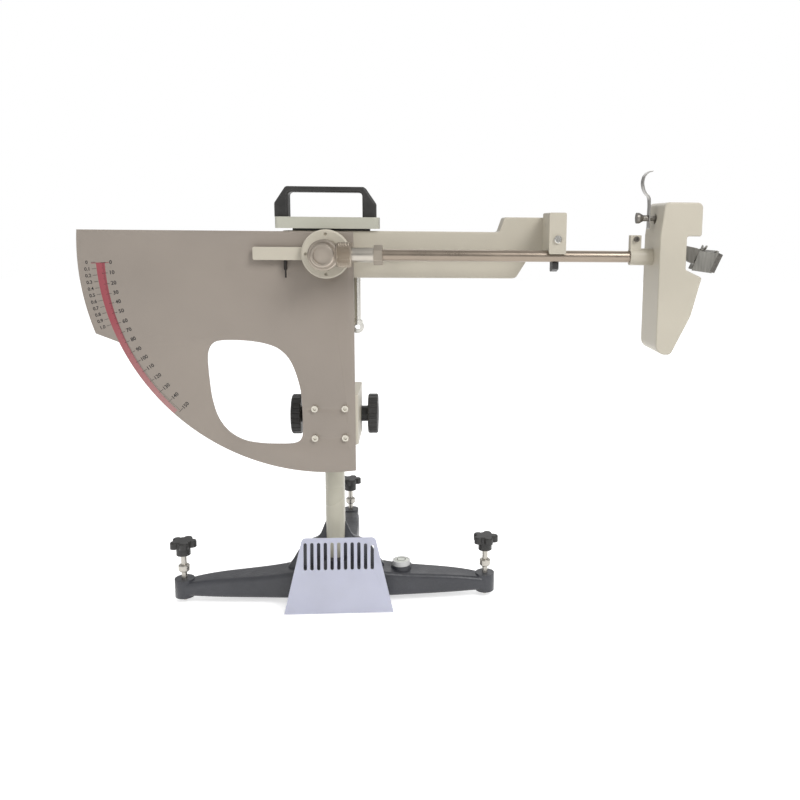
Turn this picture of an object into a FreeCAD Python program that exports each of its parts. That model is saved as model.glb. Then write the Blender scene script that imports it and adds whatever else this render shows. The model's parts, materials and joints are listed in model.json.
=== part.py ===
import FreeCAD, Part
import math
import os

import Sketcher

# Pendulum skid resistance tester. Millimetres; origin on the ground under the column axis,
# +X towards the catch that holds the pendulum, +Y away from the operator, +Z up.
# Nodes that share a seat share its value, and every fit has a named clearance.

doc = FreeCAD.newDocument("SkidTester")
sheet = doc.addObject("Spreadsheet::Sheet", "Sizes")
Vector = FreeCAD.Vector
Rotation = FreeCAD.Rotation

driving = {
    # clearances
    "fit_gap": 0.05,            # radial, between a pin and its bore
    "face_gap": 0.3,            # between faces that slide past each other
    # three-legged base
    "foot_spread": 440.0,       # between the two front feet
    "rear_reach": 296.0,        # rear foot behind the column
    "base_clearance": 9.0,      # underside of the casting above the ground
    "hub_diameter": 102.0,
    "hub_top": 66.0,
    "hub_flare": 24.0,          # radius of the hollow curve from the rim up to the neck
    "arm_root_width": 58.0,
    "arm_tip_width": 27.0,
    "arm_shoulder_top": 49.0,
    "arm_middle_top": 40.0,
    "arm_tip_top": 29.0,
    "arm_corner": 6.0,
    "core_depth": 14.0,         # hollow under the hub
    "core_diameter": 74.0,
    "foot_boss_diameter": 28.0,
    "foot_boss_bottom": 7.0,
    "foot_boss_top": 34.0,
    # levelling feet
    "foot_screw_diameter": 8.0,
    "foot_tip_diameter": 4.8,
    "foot_tip_length": 9.0,
    "lock_nut_diameter": 16.0,
    "lock_nut_height": 10.0,
    "lock_nut_bottom": 45.0,
    "foot_knob_bottom": 70.0,
    "foot_knob_hub_diameter": 20.0,
    "foot_knob_hub_height": 12.0,
    "foot_knob_height": 22.0,
    "foot_knob_core": 27.0,
    "foot_knob_lobe": 13.0,
    "foot_knob_lobe_circle": 25.0,
    "foot_screw_depth_in_knob": 14.0,
    # round spirit level on the right arm
    "level_place": 95.5,
    "level_boss_diameter": 30.0,
    "level_boss_top": 49.0,
    "level_diameter": 26.0,
    "level_height": 7.0,
    "level_wall": 2.5,
    "level_floor": 2.0,
    # column and rack
    "column_diameter": 28.0,
    "column_wall": 4.0,
    "column_bottom": 26.0,
    "column_top": 438.0,
    "rack_width": 8.0,
    "rack_seat": 12.0,          # flat of the rack's groove behind the column axis
    "rack_bottom": 226.0,
    "gear_module": 1.0,
    "rack_teeth": 38,
    "rack_pitch_line": 19.0,
    "tooth_backlash": 0.25,
    # carriage
    "carriage_bottom": 246.0,
    "carriage_above_clamp": 15.0,
    "carriage_width": 76.0,
    "carriage_back": 44.0,
    "carriage_corner": 5.0,
    "pinion_height": 272.0,
    "pinion_teeth": 16,
    "pinion_width": 12.0,
    "pinion_shaft_diameter": 10.0,
    "lift_hub_diameter": 23.0,
    "lift_hub_length": 10.0,
    "lift_disc_diameter": 58.0,
    "lift_disc_width": 14.0,
    "lift_flutes": 24,
    "lift_flute_diameter": 4.0,
    # clamp at the back of the carriage
    "clamp_above_pinion": 29.0,
    "shoe_width": 17.0,
    "shoe_height": 15.0,
    "shoe_back": 27.0,
    "clamp_travel": 2.0,
    "clamp_screw_diameter": 8.0,
    "clamp_nose_diameter": 5.0,
    "clamp_nose_length": 8.0,
    "clamp_knob_lobe": 14.0,
    "clamp_knob_lobe_circle": 26.0,
    "clamp_knob_core": 28.0,
    "clamp_knob_depth": 14.0,
    "clamp_neck_length": 6.0,
    "clamp_neck_diameter": 16.0,
    # layers from the dial backwards
    "pivot_height": 508.0,
    "dial_front": -58.0,
    "dial_thickness": 3.0,
    "arm_half_width": 28.0,
    "arm_depth": 33.0,
    "arm_wall": 6.0,
    # dial plate
    "scale_radius": 300.0,
    "dial_outer_radius": 323.0,
    "dial_above_pivot": 29.0,
    "dial_right": 34.3,
    "dial_step_below": 107.0,
    "dial_step_inner_below": 118.5,
    "dial_screw_spacing": 41.0,
    "dial_screw_middle": 277.5,
    "dial_screw_diameter": 5.0,
    "dial_screw_head": 9.0,
    "dial_screw_length": 16.0,
    # top beam
    "beam_left": -60.0,
    "beam_bottom": 476.0,
    "beam_top": 538.0,
    "beam_depth": 40.0,
    "beam_slope_start": 252.0,
    "beam_nose_start": 270.0,
    "beam_nose_bottom": 505.0,
    "beam_right": 306.0,
    "flag_left": 229.0,
    "flag_rise": 7.0,
    "flag_top": 558.0,
    "beam_wall": 7.0,
    "beam_pocket_left": 42.0,
    "beam_pocket_right": 244.0,
    # bearing housing and spindle
    "barrel_diameter": 50.0,
    "nose_diameter": 36.0,
    "nose_front": -80.0,
    "bearing_diameter": 28.0,
    "bearing_width": 8.0,
    "bearing_lip": 1.0,
    "race_thickness": 2.3,
    "housing_bore": 20.0,
    "spindle_diameter": 12.0,
    "felt_thickness": 2.0,
    "felt_diameter": 56.0,
    "pointer_hub_length": 12.0,
    "friction_ring_diameter": 64.0,
    "friction_ring_front": -81.0,
    # pointer
    "tail_length": 96.0,
    "tail_height": 17.0,
    "tail_thickness": 6.0,
    "needle_length": 284.0,
    "needle_height": 4.0,
    "needle_tip_height": 1.6,
    "needle_thickness": 1.2,
    "needle_seat_end": 42.0,
    "needle_bend_end": 100.0,
    "needle_above_dial": 4.0,
    "stop_place": 54.5,
    "stop_width": 3.2,
    "stop_height": 12.5,
    "stop_length": 9.5,
    # handle
    "plate_width": 136.0,
    "plate_front": -61.0,
    "plate_depth": 54.0,
    "plate_height": 15.0,
    "spacer_height": 3.0,
    "spacer_diameter": 12.0,
    "spacer_half_distance": 35.0,
    "plate_screw_diameter": 6.0,
    "plate_screw_head": 12.0,
    "handle_width": 134.0,
    "handle_shift": -3.0,
    "handle_height": 40.0,
    "handle_depth": 28.0,
    "handle_bar": 7.5,
    "handle_leg": 18.0,
    "handle_shoulder": 18.0,
    "handle_shoulder_inset": 15.0,
    "handle_screw_diameter": 6.0,
    # catch for the pendulum
    "catch_place": 299.0,
    "catch_width": 22.0,
    "catch_front": -112.0,
    "catch_bottom": 511.0,
    "catch_top": 564.0,
    "rod_seat_gap": 1.5,
    "latch_width": 8.0,
    "latch_pivot_behind_rod": 22.0,
    "latch_pivot_above_rod": 40.0,
    "latch_pin_diameter": 5.0,
    "latch_boss_diameter": 14.0,
    "latch_arm_front": 16.0,    # front of the latch arm behind the rod axis
    "latch_arm_thickness": 8.0,
    "latch_toe_reach": 1.0,     # end of the toe behind the rod axis
    "latch_toe_height": 13.0,
    "button_above_rod": 22.0,
    "button_diameter": 10.0,
    "button_stem_diameter": 6.0,
    "button_proud": 4.0,
    "button_head_length": 15.0,
    "button_travel": 3.0,
    "catch_screw_diameter": 5.0,
    # hanging eye
    "hanger_place": 37.5,
    "hanger_diameter": 9.0,
    "hanger_length": 59.0,
    "eye_collar_diameter": 14.0,
    "eye_collar_height": 6.0,
    "eye_diameter": 17.0,
    "eye_hole": 7.0,
    "eye_thickness": 6.0,
    # pendulum arm
    "rod_front": -100.0,        # rod axis in front of the column
    "rod_diameter": 15.0,
    "rod_wall": 2.0,
    "rod_start": 9.0,
    "rod_end": 436.0,
    "knuckle_diameter": 39.0,
    "knuckle_back": -83.0,
    "knuckle_front": -118.0,
    "cap_diameter": 30.0,
    "cap_length": 12.0,
    "cap_recess_diameter": 22.0,
    "cap_recess_depth": 4.0,
    "spindle_depth_in_knuckle": 24.0,
    "spindle_behind_bearing": 3.0,
    "collar_start": 16.0,
    "collar_diameter": 33.0,
    "collar_length": 19.0,
    "sleeve_diameter": 18.8,
    "sleeve_length": 28.0,
    "rod_nut_width": 22.4,
    "rod_nut_length": 11.3,
    "pusher_place": 104.0,
    "pusher_diameter": 3.0,
    # pendulum head
    "head_left": 426.0,
    "head_front": -136.0,
    "head_depth": 70.0,
    "head_wall": 3.0,
    "cover_thickness": 2.0,
    "head_top": 70.0,           # heights in the head count from the rod axis
    "head_bottom": -125.0,
    "head_right": 480.0,
    "notch_top": 27.5,
    "notch_bottom": -15.0,
    "notch_left": 461.0,
    "lip_right": 482.6,
    "lip_height": -25.0,
    "tail_shoulder": -74.0,
    "tail_shoulder_right": 470.5,
    "tail_tip_right": 446.0,
    "head_corner": 7.0,
    "head_edge": 2.0,
    "clamp_collar_length": 30.0,
    "clamp_collar_diameter": 22.0,
    "clamp_lug_length": 14.0,
    "clamp_lug_height": 28.0,
    "clamp_lug_depth": 12.0,
    "clamp_slit": 2.0,
    "clamp_bolt_diameter": 4.0,
    "rod_socket_diameter": 24.0,
    "cover_screw_diameter": 4.0,
    "cover_post_diameter": 9.0,
    # slider lever
    "lever_pivot_place": 451.0,
    "lever_pivot_below": -88.0,
    "lever_pin_diameter": 6.0,
    "lever_boss_diameter": 16.0,
    "lever_left": 445.5,
    "lever_bar": 9.0,
    "lever_top": 56.0,
    "lever_thickness": 10.0,
    "hook_height": 50.0,
    "hook_gap": 5.0,
    "hook_thickness": 2.5,
    "hook_width": 16.0,
    "hook_below": 14.0,
    "hook_straight": 28.0,
    "hook_curl": 15.0,
    "hook_curl_rise": 94.0,
    "hook_shift": 2.5,
    "stem_diameter": 5.0,
    "stem_shoulder_diameter": 7.0,
    "stem_hole_diameter": 13.0,
    "thumb_head_diameter": 14.0,
    "thumb_head_length": 9.0,
    "thumb_neck_diameter": 8.0,
    "thumb_neck_length": 6.0,
    "head_spring_height": -45.0,
    "head_spring_diameter": 12.0,
    "head_spring_wire": 1.5,
    "head_spring_slack": 2.4,
    # rubber slider
    "swing_radius": 507.8,
    "slider_edge_above": 4.5,
    "slider_angle": 24.0,
    "slider_length": 76.2,
    "rubber_width": 25.4,
    "rubber_thickness": 6.35,
    "slider_plate_width": 29.0,
    "slider_plate_thickness": 3.0,
    "slider_lug_depth": 10.0,
    "slider_lug_width": 12.0,
    "slider_lug_length": 16.0,
    "slider_pin_diameter": 5.0,
    "fork_arm": 4.0,
    "fork_back": 4.0,
    "wing_height": 8.0,
    "wing_span": 18.0,
    "wing_thickness": 2.0,
    # plastic scraper leaning on the hub
    "scraper_middle": 8.0,
    "scraper_bottom_width": 154.0,
    "scraper_top_width": 104.0,
    "scraper_height": 108.0,
    "scraper_thickness": 2.5,
    "scraper_lean": 6.0,
    "scraper_corner": 6.0,
    "scraper_slots": 11,
    "scraper_slot_pitch": 8.6,
    "scraper_slot_width": 4.0,
    "scraper_slot_top": 102.0,
    "scraper_slot_bottom": 62.0,
}


class Size:
    """A value with the sheet formula that it comes from, so that sums stay bound to the cells."""

    def __init__(self, value, formula):
        self.value = value
        self.formula = formula

    def join(self, other, sign, value):
        return Size(value, "(" + self.formula + sign + formula_of(other) + ")")

    def __add__(self, other):
        return self.join(other, " + ", self.value + value_of(other))

    def __sub__(self, other):
        return self.join(other, " - ", self.value - value_of(other))

    def __mul__(self, other):
        return self.join(other, " * ", self.value * value_of(other))

    def __truediv__(self, other):
        return self.join(other, " / ", self.value / value_of(other))

    def __radd__(self, other):
        return as_size(other) + self

    def __rsub__(self, other):
        return as_size(other) - self

    def __rmul__(self, other):
        return as_size(other) * self

    def __neg__(self):
        return self * -1


def value_of(item):
    return item.value if isinstance(item, Size) else float(item)


def formula_of(item):
    return item.formula if isinstance(item, Size) else repr(float(item))


def as_size(item):
    return item if isinstance(item, Size) else Size(float(item), repr(float(item)))


def root(item):
    return Size(math.sqrt(item.value), "sqrt(" + item.formula + ")")


def sine(item):
    return Size(math.sin(math.radians(item.value)), "sin(" + item.formula + ")")


def cosine(item):
    return Size(math.cos(math.radians(item.value)), "cos(" + item.formula + ")")


class Sizes:
    """The driving dimensions, read as size.name."""


size = Sizes()
for row, (alias, number) in enumerate(driving.items(), start=1):
    sheet.set("A" + str(row), alias)
    sheet.set("B" + str(row), str(number))
    sheet.setAlias("B" + str(row), alias)
    setattr(size, alias, Size(float(number), "Sizes." + alias))
doc.recompute()

pieces = []


def bind(item, path, amount):
    item.setExpression(path, formula_of(amount))


def new_piece(label, at=(0, 0, 0), turn=None):
    body = doc.addObject("PartDesign::Body", label)
    body.Label = label
    if turn is not None:
        body.Placement = FreeCAD.Placement(Vector(), turn)
    for axis, amount in zip("xyz", at):
        bind(body, "Placement.Base." + axis, amount)
    pieces.append(body)
    return body


# turned pieces lie along Z in their own body, and are placed with their axis along one of these
to_front = Rotation(Vector(1, 0, 0), 90)
to_back = Rotation(Vector(1, 0, 0), -90)
to_right = Rotation(Vector(0, 1, 0), 90)
to_left = Rotation(Vector(0, 1, 0), -90)


def origin_of(body, role):
    return [item for item in body.Origin.OriginFeatures if item.Role == role][0]


def new_sketch(body, plane, height):
    sketch = body.newObject("Sketcher::SketchObject", "Sketch")
    sketch.AttachmentSupport = [(origin_of(body, plane + "_Plane"), "")]
    sketch.MapMode = "FlatFace"
    # the XZ plane looks along -Y, so its offset changes sign
    bind(sketch, "AttachmentOffset.Base.z", -as_size(height) if plane == "XZ" else height)
    return sketch


def hold(sketch, geometry, end, u, w):
    for kind, amount in (("DistanceX", u), ("DistanceY", w)):
        if amount is not None:
            number = sketch.addConstraint(
                Sketcher.Constraint(kind, -1, 1, geometry, end, value_of(amount)))
            bind(sketch, "Constraints[" + str(number) + "]", amount)


def circle(sketch, u, w, diameter):
    shape = Part.Circle(Vector(value_of(u), value_of(w), 0), Vector(0, 0, 1), value_of(diameter) / 2)
    number = sketch.addGeometry(shape, False)
    hold(sketch, number, 3, u, w)
    limit = sketch.addConstraint(Sketcher.Constraint("Diameter", number, value_of(diameter)))
    bind(sketch, "Constraints[" + str(limit) + "]", diameter)


def point_on(corner):
    return Vector(value_of(corner[0]), value_of(corner[1]), 0)


def anticlockwise(begin, middle, finish):
    """Arc through three points, and whether its ends had to be swapped to run anticlockwise."""
    swapped = (middle - begin).cross(finish - middle).z < 0
    if swapped:
        begin, finish = finish, begin
    return Part.Arc(begin, middle, finish), swapped


def outline(sketch, corners, centres=None):
    """Closed profile. A corner is (u, w) or (u, w, rounding radius) between straight sides.
    centres gives, by the number of a side, the middle of the arc that the side follows."""
    centres = centres or {}
    count = len(corners)
    starts, ends, rounds = {}, {}, {}
    for n, corner in enumerate(corners):
        place = point_on(corner)
        starts[n] = ends[n] = place
        if len(corner) > 2:
            back = (point_on(corners[n - 1]) - place).normalize()
            ahead = (point_on(corners[(n + 1) % count]) - place).normalize()
            half = back.getAngle(ahead) / 2
            reach = value_of(corner[2]) / math.tan(half)
            middle = (back + ahead).normalize() * (value_of(corner[2]) / math.sin(half)) + place
            ends[n], starts[n] = place + back * reach, place + ahead * reach
            nearest = middle + (place - middle).normalize() * value_of(corner[2])
            rounds[n] = anticlockwise(ends[n], nearest, starts[n])
    sides, heads, tails = [], [], []
    for n in range(count):
        begin, finish = starts[n], ends[(n + 1) % count]
        swapped = False
        if n in centres:
            middle = point_on(centres[n])
            halfway = ((begin - middle).normalize() + (finish - middle).normalize()).normalize()
            side, swapped = anticlockwise(begin, middle + halfway * (begin - middle).Length, finish)
        else:
            side = Part.LineSegment(begin, finish)
        sides.append(sketch.addGeometry(side, False))
        heads.append(2 if swapped else 1)
        tails.append(1 if swapped else 2)
    for n, corner in enumerate(corners):
        before = (n - 1) % count
        if n in rounds:
            curve, swapped = rounds[n]
            arc = sketch.addGeometry(curve, False)
            virtual = sketch.addGeometry(Part.Point(point_on(corner)), True)
            hold(sketch, virtual, 1, corner[0], corner[1])
            sketch.addConstraint([
                Sketcher.Constraint("Tangent", sides[before], tails[before], arc, 2 if swapped else 1),
                Sketcher.Constraint("Tangent", arc, 1 if swapped else 2, sides[n], heads[n]),
                Sketcher.Constraint("PointOnObject", virtual, 1, sides[before]),
                Sketcher.Constraint("PointOnObject", virtual, 1, sides[n])])
            limit = sketch.addConstraint(Sketcher.Constraint("Radius", arc, value_of(corner[2])))
            bind(sketch, "Constraints[" + str(limit) + "]", corner[2])
            continue
        sketch.addConstraint(
            Sketcher.Constraint("Coincident", sides[before], tails[before], sides[n], heads[n]))
        u, w = corner[0], corner[1]
        if before in centres:
            # the arc already fixes one direction here
            spoke = point_on(corner) - point_on(centres[before])
            if abs(spoke.x) > abs(spoke.y):
                u = None
            else:
                w = None
        hold(sketch, sides[n], heads[n], u, w)
    for n in centres:
        hold(sketch, sides[n], 3, *centres[n])


def pad(body, plane, low, high, *draw):
    """Solid between two heights over a plane; draw holds (function, arguments) pairs."""
    sketch = new_sketch(body, plane, low)
    for function, arguments in draw:
        function(sketch, *arguments)
    feature = body.newObject("PartDesign::Pad", "Pad")
    feature.Profile = sketch
    bind(feature, "Length", high - low)
    feature.Reversed = plane == "XZ"
    doc.recompute()
    return feature


def pocket(body, plane, low, high, *draw):
    sketch = new_sketch(body, plane, low)
    for function, arguments in draw:
        function(sketch, *arguments)
    before = body.Shape.Volume
    feature = body.newObject("PartDesign::Pocket", "Pocket")
    feature.Profile = sketch
    bind(feature, "Length", high - low)
    feature.Reversed = plane != "XZ"
    doc.recompute()
    if body.Shape.Volume > before - 0.001:
        raise ValueError(body.Label + " pocket cuts nothing")
    return feature


def turned(label, profile, at, turn=None, centres=None):
    """Piece of revolution about its own Z; profile holds (radius, height) corners."""
    body = new_piece(label, at, turn)
    revolve(body, profile, centres)
    return body


def revolve(body, profile, centres=None, feature_type="Revolution"):
    sketch = new_sketch(body, "XZ", 0)
    outline(sketch, profile, centres)
    feature = body.newObject("PartDesign::" + feature_type, feature_type)
    feature.Profile = sketch
    feature.ReferenceAxis = (sketch, ["V_Axis"])
    feature.Angle = 360
    doc.recompute()
    return feature


def around(body, feature, copies):
    pattern = body.newObject("PartDesign::PolarPattern", "PolarPattern")
    pattern.Originals = [feature]
    pattern.Axis = (origin_of(body, "Z_Axis"), [""])
    pattern.Angle = 360
    bind(pattern, "Occurrences", copies)
    body.Tip = pattern
    doc.recompute()
    return pattern


def dress(body, kind, amount, chosen):
    """Fillet or chamfer on the edges that chosen(edge) picks."""
    base = body.Tip
    names = ["Edge" + str(n) for n, edge in enumerate(base.Shape.Edges, start=1) if chosen(edge)]
    if not names:
        raise ValueError(body.Label + " has no edge to " + kind)
    feature = body.newObject("PartDesign::" + kind, kind)
    feature.Base = (base, names)
    bind(feature, "Radius" if kind == "Fillet" else "Size", amount)
    doc.recompute()
    return feature


def box_outline(left, right, low, high, corner=None):
    corners = [(left, low), (right, low), (right, high), (left, high)]
    return corners if corner is None else [place + (corner,) for place in corners]


def ring_profile(inner, outer, low, high):
    """Radii in, so that bores and rims share the diameters of what they fit."""
    return box_outline(inner, outer, low, high)


def is_round(edge):
    return edge.Curve.TypeId == "Part::GeomCircle"


def at_height(height):
    goal = value_of(height)
    return lambda edge: all(abs(v.Z - goal) < 0.01 for v in edge.Vertexes)


# Three-legged base

foot_places = {
    "left": (-size.foot_spread / 2, 0),
    "right": (size.foot_spread / 2, 0),
    "rear": (0, size.rear_reach),
}
hub_radius = size.hub_diameter / 2
dial_back = size.dial_front + size.dial_thickness
rod_height = size.pivot_height
clamp_height = size.pinion_height + size.clamp_above_pinion
carriage_top = clamp_height + size.carriage_above_clamp


def arm_sections(reach):
    """Stations along an arm from the hub to the foot, each (distance, width, underside, top)."""
    low = size.base_clearance
    return [
        (hub_radius - 19, size.arm_root_width, low, size.hub_top - 10),
        (hub_radius + 8, size.arm_root_width * 0.9, low, size.arm_shoulder_top),
        ((hub_radius + reach) / 2, (size.arm_root_width + size.arm_tip_width) / 2, low + 0.5,
         size.arm_middle_top),
        (reach, size.arm_tip_width, low + 2, size.arm_tip_top),
    ]


def loft_arm(body, plane, reach):
    sketches = []
    for distance, width, low, high in arm_sections(reach):
        sketch = new_sketch(body, plane, distance)
        outline(sketch, box_outline(-width / 2, width / 2, low, high, size.arm_corner))
        sketches.append(sketch)
    doc.recompute()
    loft = body.newObject("PartDesign::AdditiveLoft", "Arm")
    loft.Profile = sketches[0]
    loft.Sections = sketches[1:]
    doc.recompute()
    return loft


def make_base():
    body = new_piece("base_frame")
    rim = size.hub_top - size.hub_flare
    revolve(body, [(0, size.base_clearance), (hub_radius, size.base_clearance), (hub_radius, rim),
                   (hub_radius - size.hub_flare, size.hub_top), (0, size.hub_top)],
            {2: (hub_radius, size.hub_top)})
    side_arm = loft_arm(body, "YZ", size.foot_spread / 2)
    boss = pad(body, "XY", size.foot_boss_bottom, size.foot_boss_top,
               (circle, (size.foot_spread / 2, 0, size.foot_boss_diameter)))
    mirror = body.newObject("PartDesign::Mirrored", "OtherArm")
    mirror.Originals = [side_arm, boss]
    mirror.MirrorPlane = (origin_of(body, "YZ_Plane"), [""])
    body.Tip = mirror
    doc.recompute()
    loft_arm(body, "XZ", size.rear_reach)
    pad(body, "XY", size.foot_boss_bottom, size.foot_boss_top,
        (circle, (0, size.rear_reach, size.foot_boss_diameter)))
    pad(body, "XY", size.base_clearance + 10, size.level_boss_top,
        (circle, (size.level_place, 0, size.level_boss_diameter)))
    pocket(body, "XY", size.column_bottom, size.hub_top + 1,
           (circle, (0, 0, size.column_diameter + size.fit_gap * 2)))
    pocket(body, "XY", size.base_clearance - 1, size.base_clearance + size.core_depth,
           (circle, (0, 0, size.core_diameter)))
    hole = size.foot_screw_diameter + size.fit_gap * 2
    pocket(body, "XY", size.foot_boss_bottom - 1, size.foot_boss_top + 1,
           *[(circle, (x, y, hole)) for x, y in foot_places.values()])
    return body


def make_level():
    low = size.level_boss_top
    inner = size.level_diameter / 2 - size.level_wall
    turned("level_housing", [(0, 0), (size.level_diameter / 2, 0),
                             (size.level_diameter / 2, size.level_height), (inner, size.level_height),
                             (inner, size.level_floor), (0, size.level_floor)],
           (size.level_place, 0, low))
    glass = inner - size.fit_gap
    crown = size.level_height + 0.6
    turned("level_glass", [(0, size.level_floor), (glass, size.level_floor),
                           (glass, size.level_height - 0.4), (glass - 1.5, crown), (0, crown)],
           (size.level_place, 0, low))


def make_foot(side, x, y):
    tip = size.foot_tip_diameter / 2
    turned("foot_tip_" + side, [(0, 0), (tip - 0.6, 0), (tip, 0.8), (tip, size.foot_tip_length),
                                (0, size.foot_tip_length)], (x, y, 0))
    # the tip stays still in a socket of the screw, and the lock nut is a ring of its own
    screw = size.foot_screw_diameter / 2
    start = size.foot_boss_bottom + 0.5
    socket = size.foot_tip_length + size.face_gap
    hollow = tip + size.fit_gap
    end = size.foot_knob_bottom + size.foot_screw_depth_in_knob
    body = turned("levelling_screw_" + side,
                  [(hollow, start), (screw, start), (screw, end), (0, end), (0, socket),
                   (hollow, socket)], (x, y, 0))
    nut_low = size.lock_nut_bottom
    nut_high = nut_low + size.lock_nut_height
    rim = size.lock_nut_diameter / 2
    revolve(body, [(screw - 0.5, nut_low), (rim - 1.5, nut_low), (rim, nut_low + 1.5),
                   (rim, nut_high - 1.5), (rim - 1.5, nut_high), (screw - 0.5, nut_high)])
    star_knob("levelling_knob_" + side, (x, y, size.foot_knob_bottom), None,
              size.foot_knob_hub_diameter, size.foot_knob_hub_height, size.foot_knob_height,
              size.foot_knob_core, size.foot_knob_lobe, size.foot_knob_lobe_circle,
              size.foot_screw_diameter, size.foot_screw_depth_in_knob)


def star_knob(label, at, turn, hub, hub_height, height, core, lobe, lobe_circle, bore, depth):
    """Five round lobes about a core, on a neck, with a blind bore for the screw."""
    body = turned(label, [(0, 0), (hub / 2, 0), (hub / 2, hub_height), (core / 2, hub_height),
                          (core / 2, height), (0, height)], at, turn)
    ear = pad(body, "XY", hub_height, height, (circle, (lobe_circle / 2, 0, lobe)))
    around(body, ear, 5)
    rim = value_of(height)
    dress(body, "Fillet", 2.5, lambda edge: is_round(edge) and at_height(rim)(edge))
    pocket(body, "XY", as_size(-1), depth, (circle, (0, 0, bore + size.fit_gap * 2)))
    return body


# Column, rack and carriage

pitch = size.gear_module * math.pi
pinion_radius = size.gear_module * size.pinion_teeth / 2
pinion_back = size.rack_pitch_line + pinion_radius


def make_column():
    body = turned("column", ring_profile(size.column_diameter / 2 - size.column_wall,
                                         size.column_diameter / 2, size.column_bottom,
                                         size.column_top), (0, 0, 0))
    dress(body, "Chamfer", 1.5, lambda edge: is_round(edge) and at_height(size.column_top)(edge)
          and edge.Curve.Radius > value_of(size.column_diameter) / 2 - 1)
    groove = size.rack_width / 2 + size.fit_gap
    pocket(body, "XY", size.rack_bottom - size.fit_gap, rack_top() + size.fit_gap,
           (outline, (box_outline(-groove, groove, size.rack_seat, size.column_diameter / 2 + 1),)))


def rack_top():
    return size.rack_bottom + pitch * size.rack_teeth


def make_rack():
    body = new_piece("column_rack")
    tip = size.rack_pitch_line + size.gear_module
    half = size.rack_width / 2
    pad(body, "XY", size.rack_bottom, rack_top(),
        (outline, (box_outline(-half, half, size.rack_seat, tip),)))
    # one gap between two teeth, seen along X, then repeated up the bar
    foot = size.rack_pitch_line - size.gear_module * 1.25
    middle = pinion_level_gap()
    top_half = pitch / 4 + size.gear_module * math.tan(math.radians(20)) + size.tooth_backlash / 2
    foot_half = pitch / 4 - size.gear_module * (1.25 * math.tan(math.radians(20))) \
        + size.tooth_backlash / 2
    gap = pocket(body, "YZ", -half - 1, half + 1, (outline, (
        [(foot, middle - foot_half), (tip + 0.5, middle - top_half - 0.2),
         (tip + 0.5, middle + top_half + 0.2), (foot, middle + foot_half)],)))
    pattern = body.newObject("PartDesign::LinearPattern", "Teeth")
    pattern.Originals = [gap]
    pattern.Direction = (origin_of(body, "Z_Axis"), [""])
    bind(pattern, "Length", pitch * (size.rack_teeth - 1))
    bind(pattern, "Occurrences", size.rack_teeth)
    body.Tip = pattern
    doc.recompute()


def pinion_level_gap():
    """Lowest gap of the rack that lets a gap lie level with the pinion's axis."""
    steps = math.floor((value_of(size.pinion_height) - value_of(size.rack_bottom)) / value_of(pitch) - 0.5)
    return size.pinion_height - pitch * steps


def make_pinion():
    body = new_piece("pinion_shaft", (0, pinion_back, size.pinion_height), to_right)
    half = size.pinion_width / 2
    foot = pinion_radius - size.gear_module * 1.25
    tip = pinion_radius + size.gear_module
    shaft = size.pinion_shaft_diameter / 2
    end = size.carriage_width / 2 + size.lift_hub_length + size.lift_disc_width - 6
    revolve(body, [(0, -end), (shaft, -end), (shaft, -half), (foot, -half), (foot, half),
                   (shaft, half), (shaft, end), (0, end)])
    root_half = pitch / 4 + size.gear_module * 0.35 - size.tooth_backlash / 2
    pitch_half = pitch / 4 - size.tooth_backlash / 2
    tip_half = pitch / 4 - size.gear_module * 0.45 - size.tooth_backlash / 2
    # the first tooth points at the rack, which lies on the side of -Y
    tooth = pad(body, "XY", -half, half, (outline, (
        [(-root_half, -foot + 0.4), (-root_half, -foot), (-pitch_half, -pinion_radius),
         (-tip_half, -tip), (tip_half, -tip), (pitch_half, -pinion_radius), (root_half, -foot),
         (root_half, -foot + 0.4)],)))
    around(body, tooth, size.pinion_teeth)
    return body


def lift_knob(label, side):
    turn = to_right if side > 0 else to_left
    start = size.carriage_width / 2 + size.face_gap
    body = new_piece(label, (start * side, pinion_back, size.pinion_height), turn)
    hub = size.lift_hub_diameter / 2
    rim = size.lift_disc_diameter / 2
    low = size.lift_hub_length - size.face_gap
    high = low + size.lift_disc_width
    revolve(body, [(0, 0), (hub, 0), (hub, low), (rim - 1.5, low), (rim, low + 1.5),
                   (rim, high - 1.5), (rim - 1.5, high), (hub + 4, high), (hub + 1, high - 3),
                   (0, high - 3)])
    flute = pocket(body, "XY", low - 1, high + 1, (circle, (rim + 1, 0, size.lift_flute_diameter)))
    around(body, flute, size.lift_flutes)
    bore = size.pinion_shaft_diameter + size.fit_gap * 2
    pocket(body, "XY", as_size(-1), high - 6, (circle, (0, 0, bore)))


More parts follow.
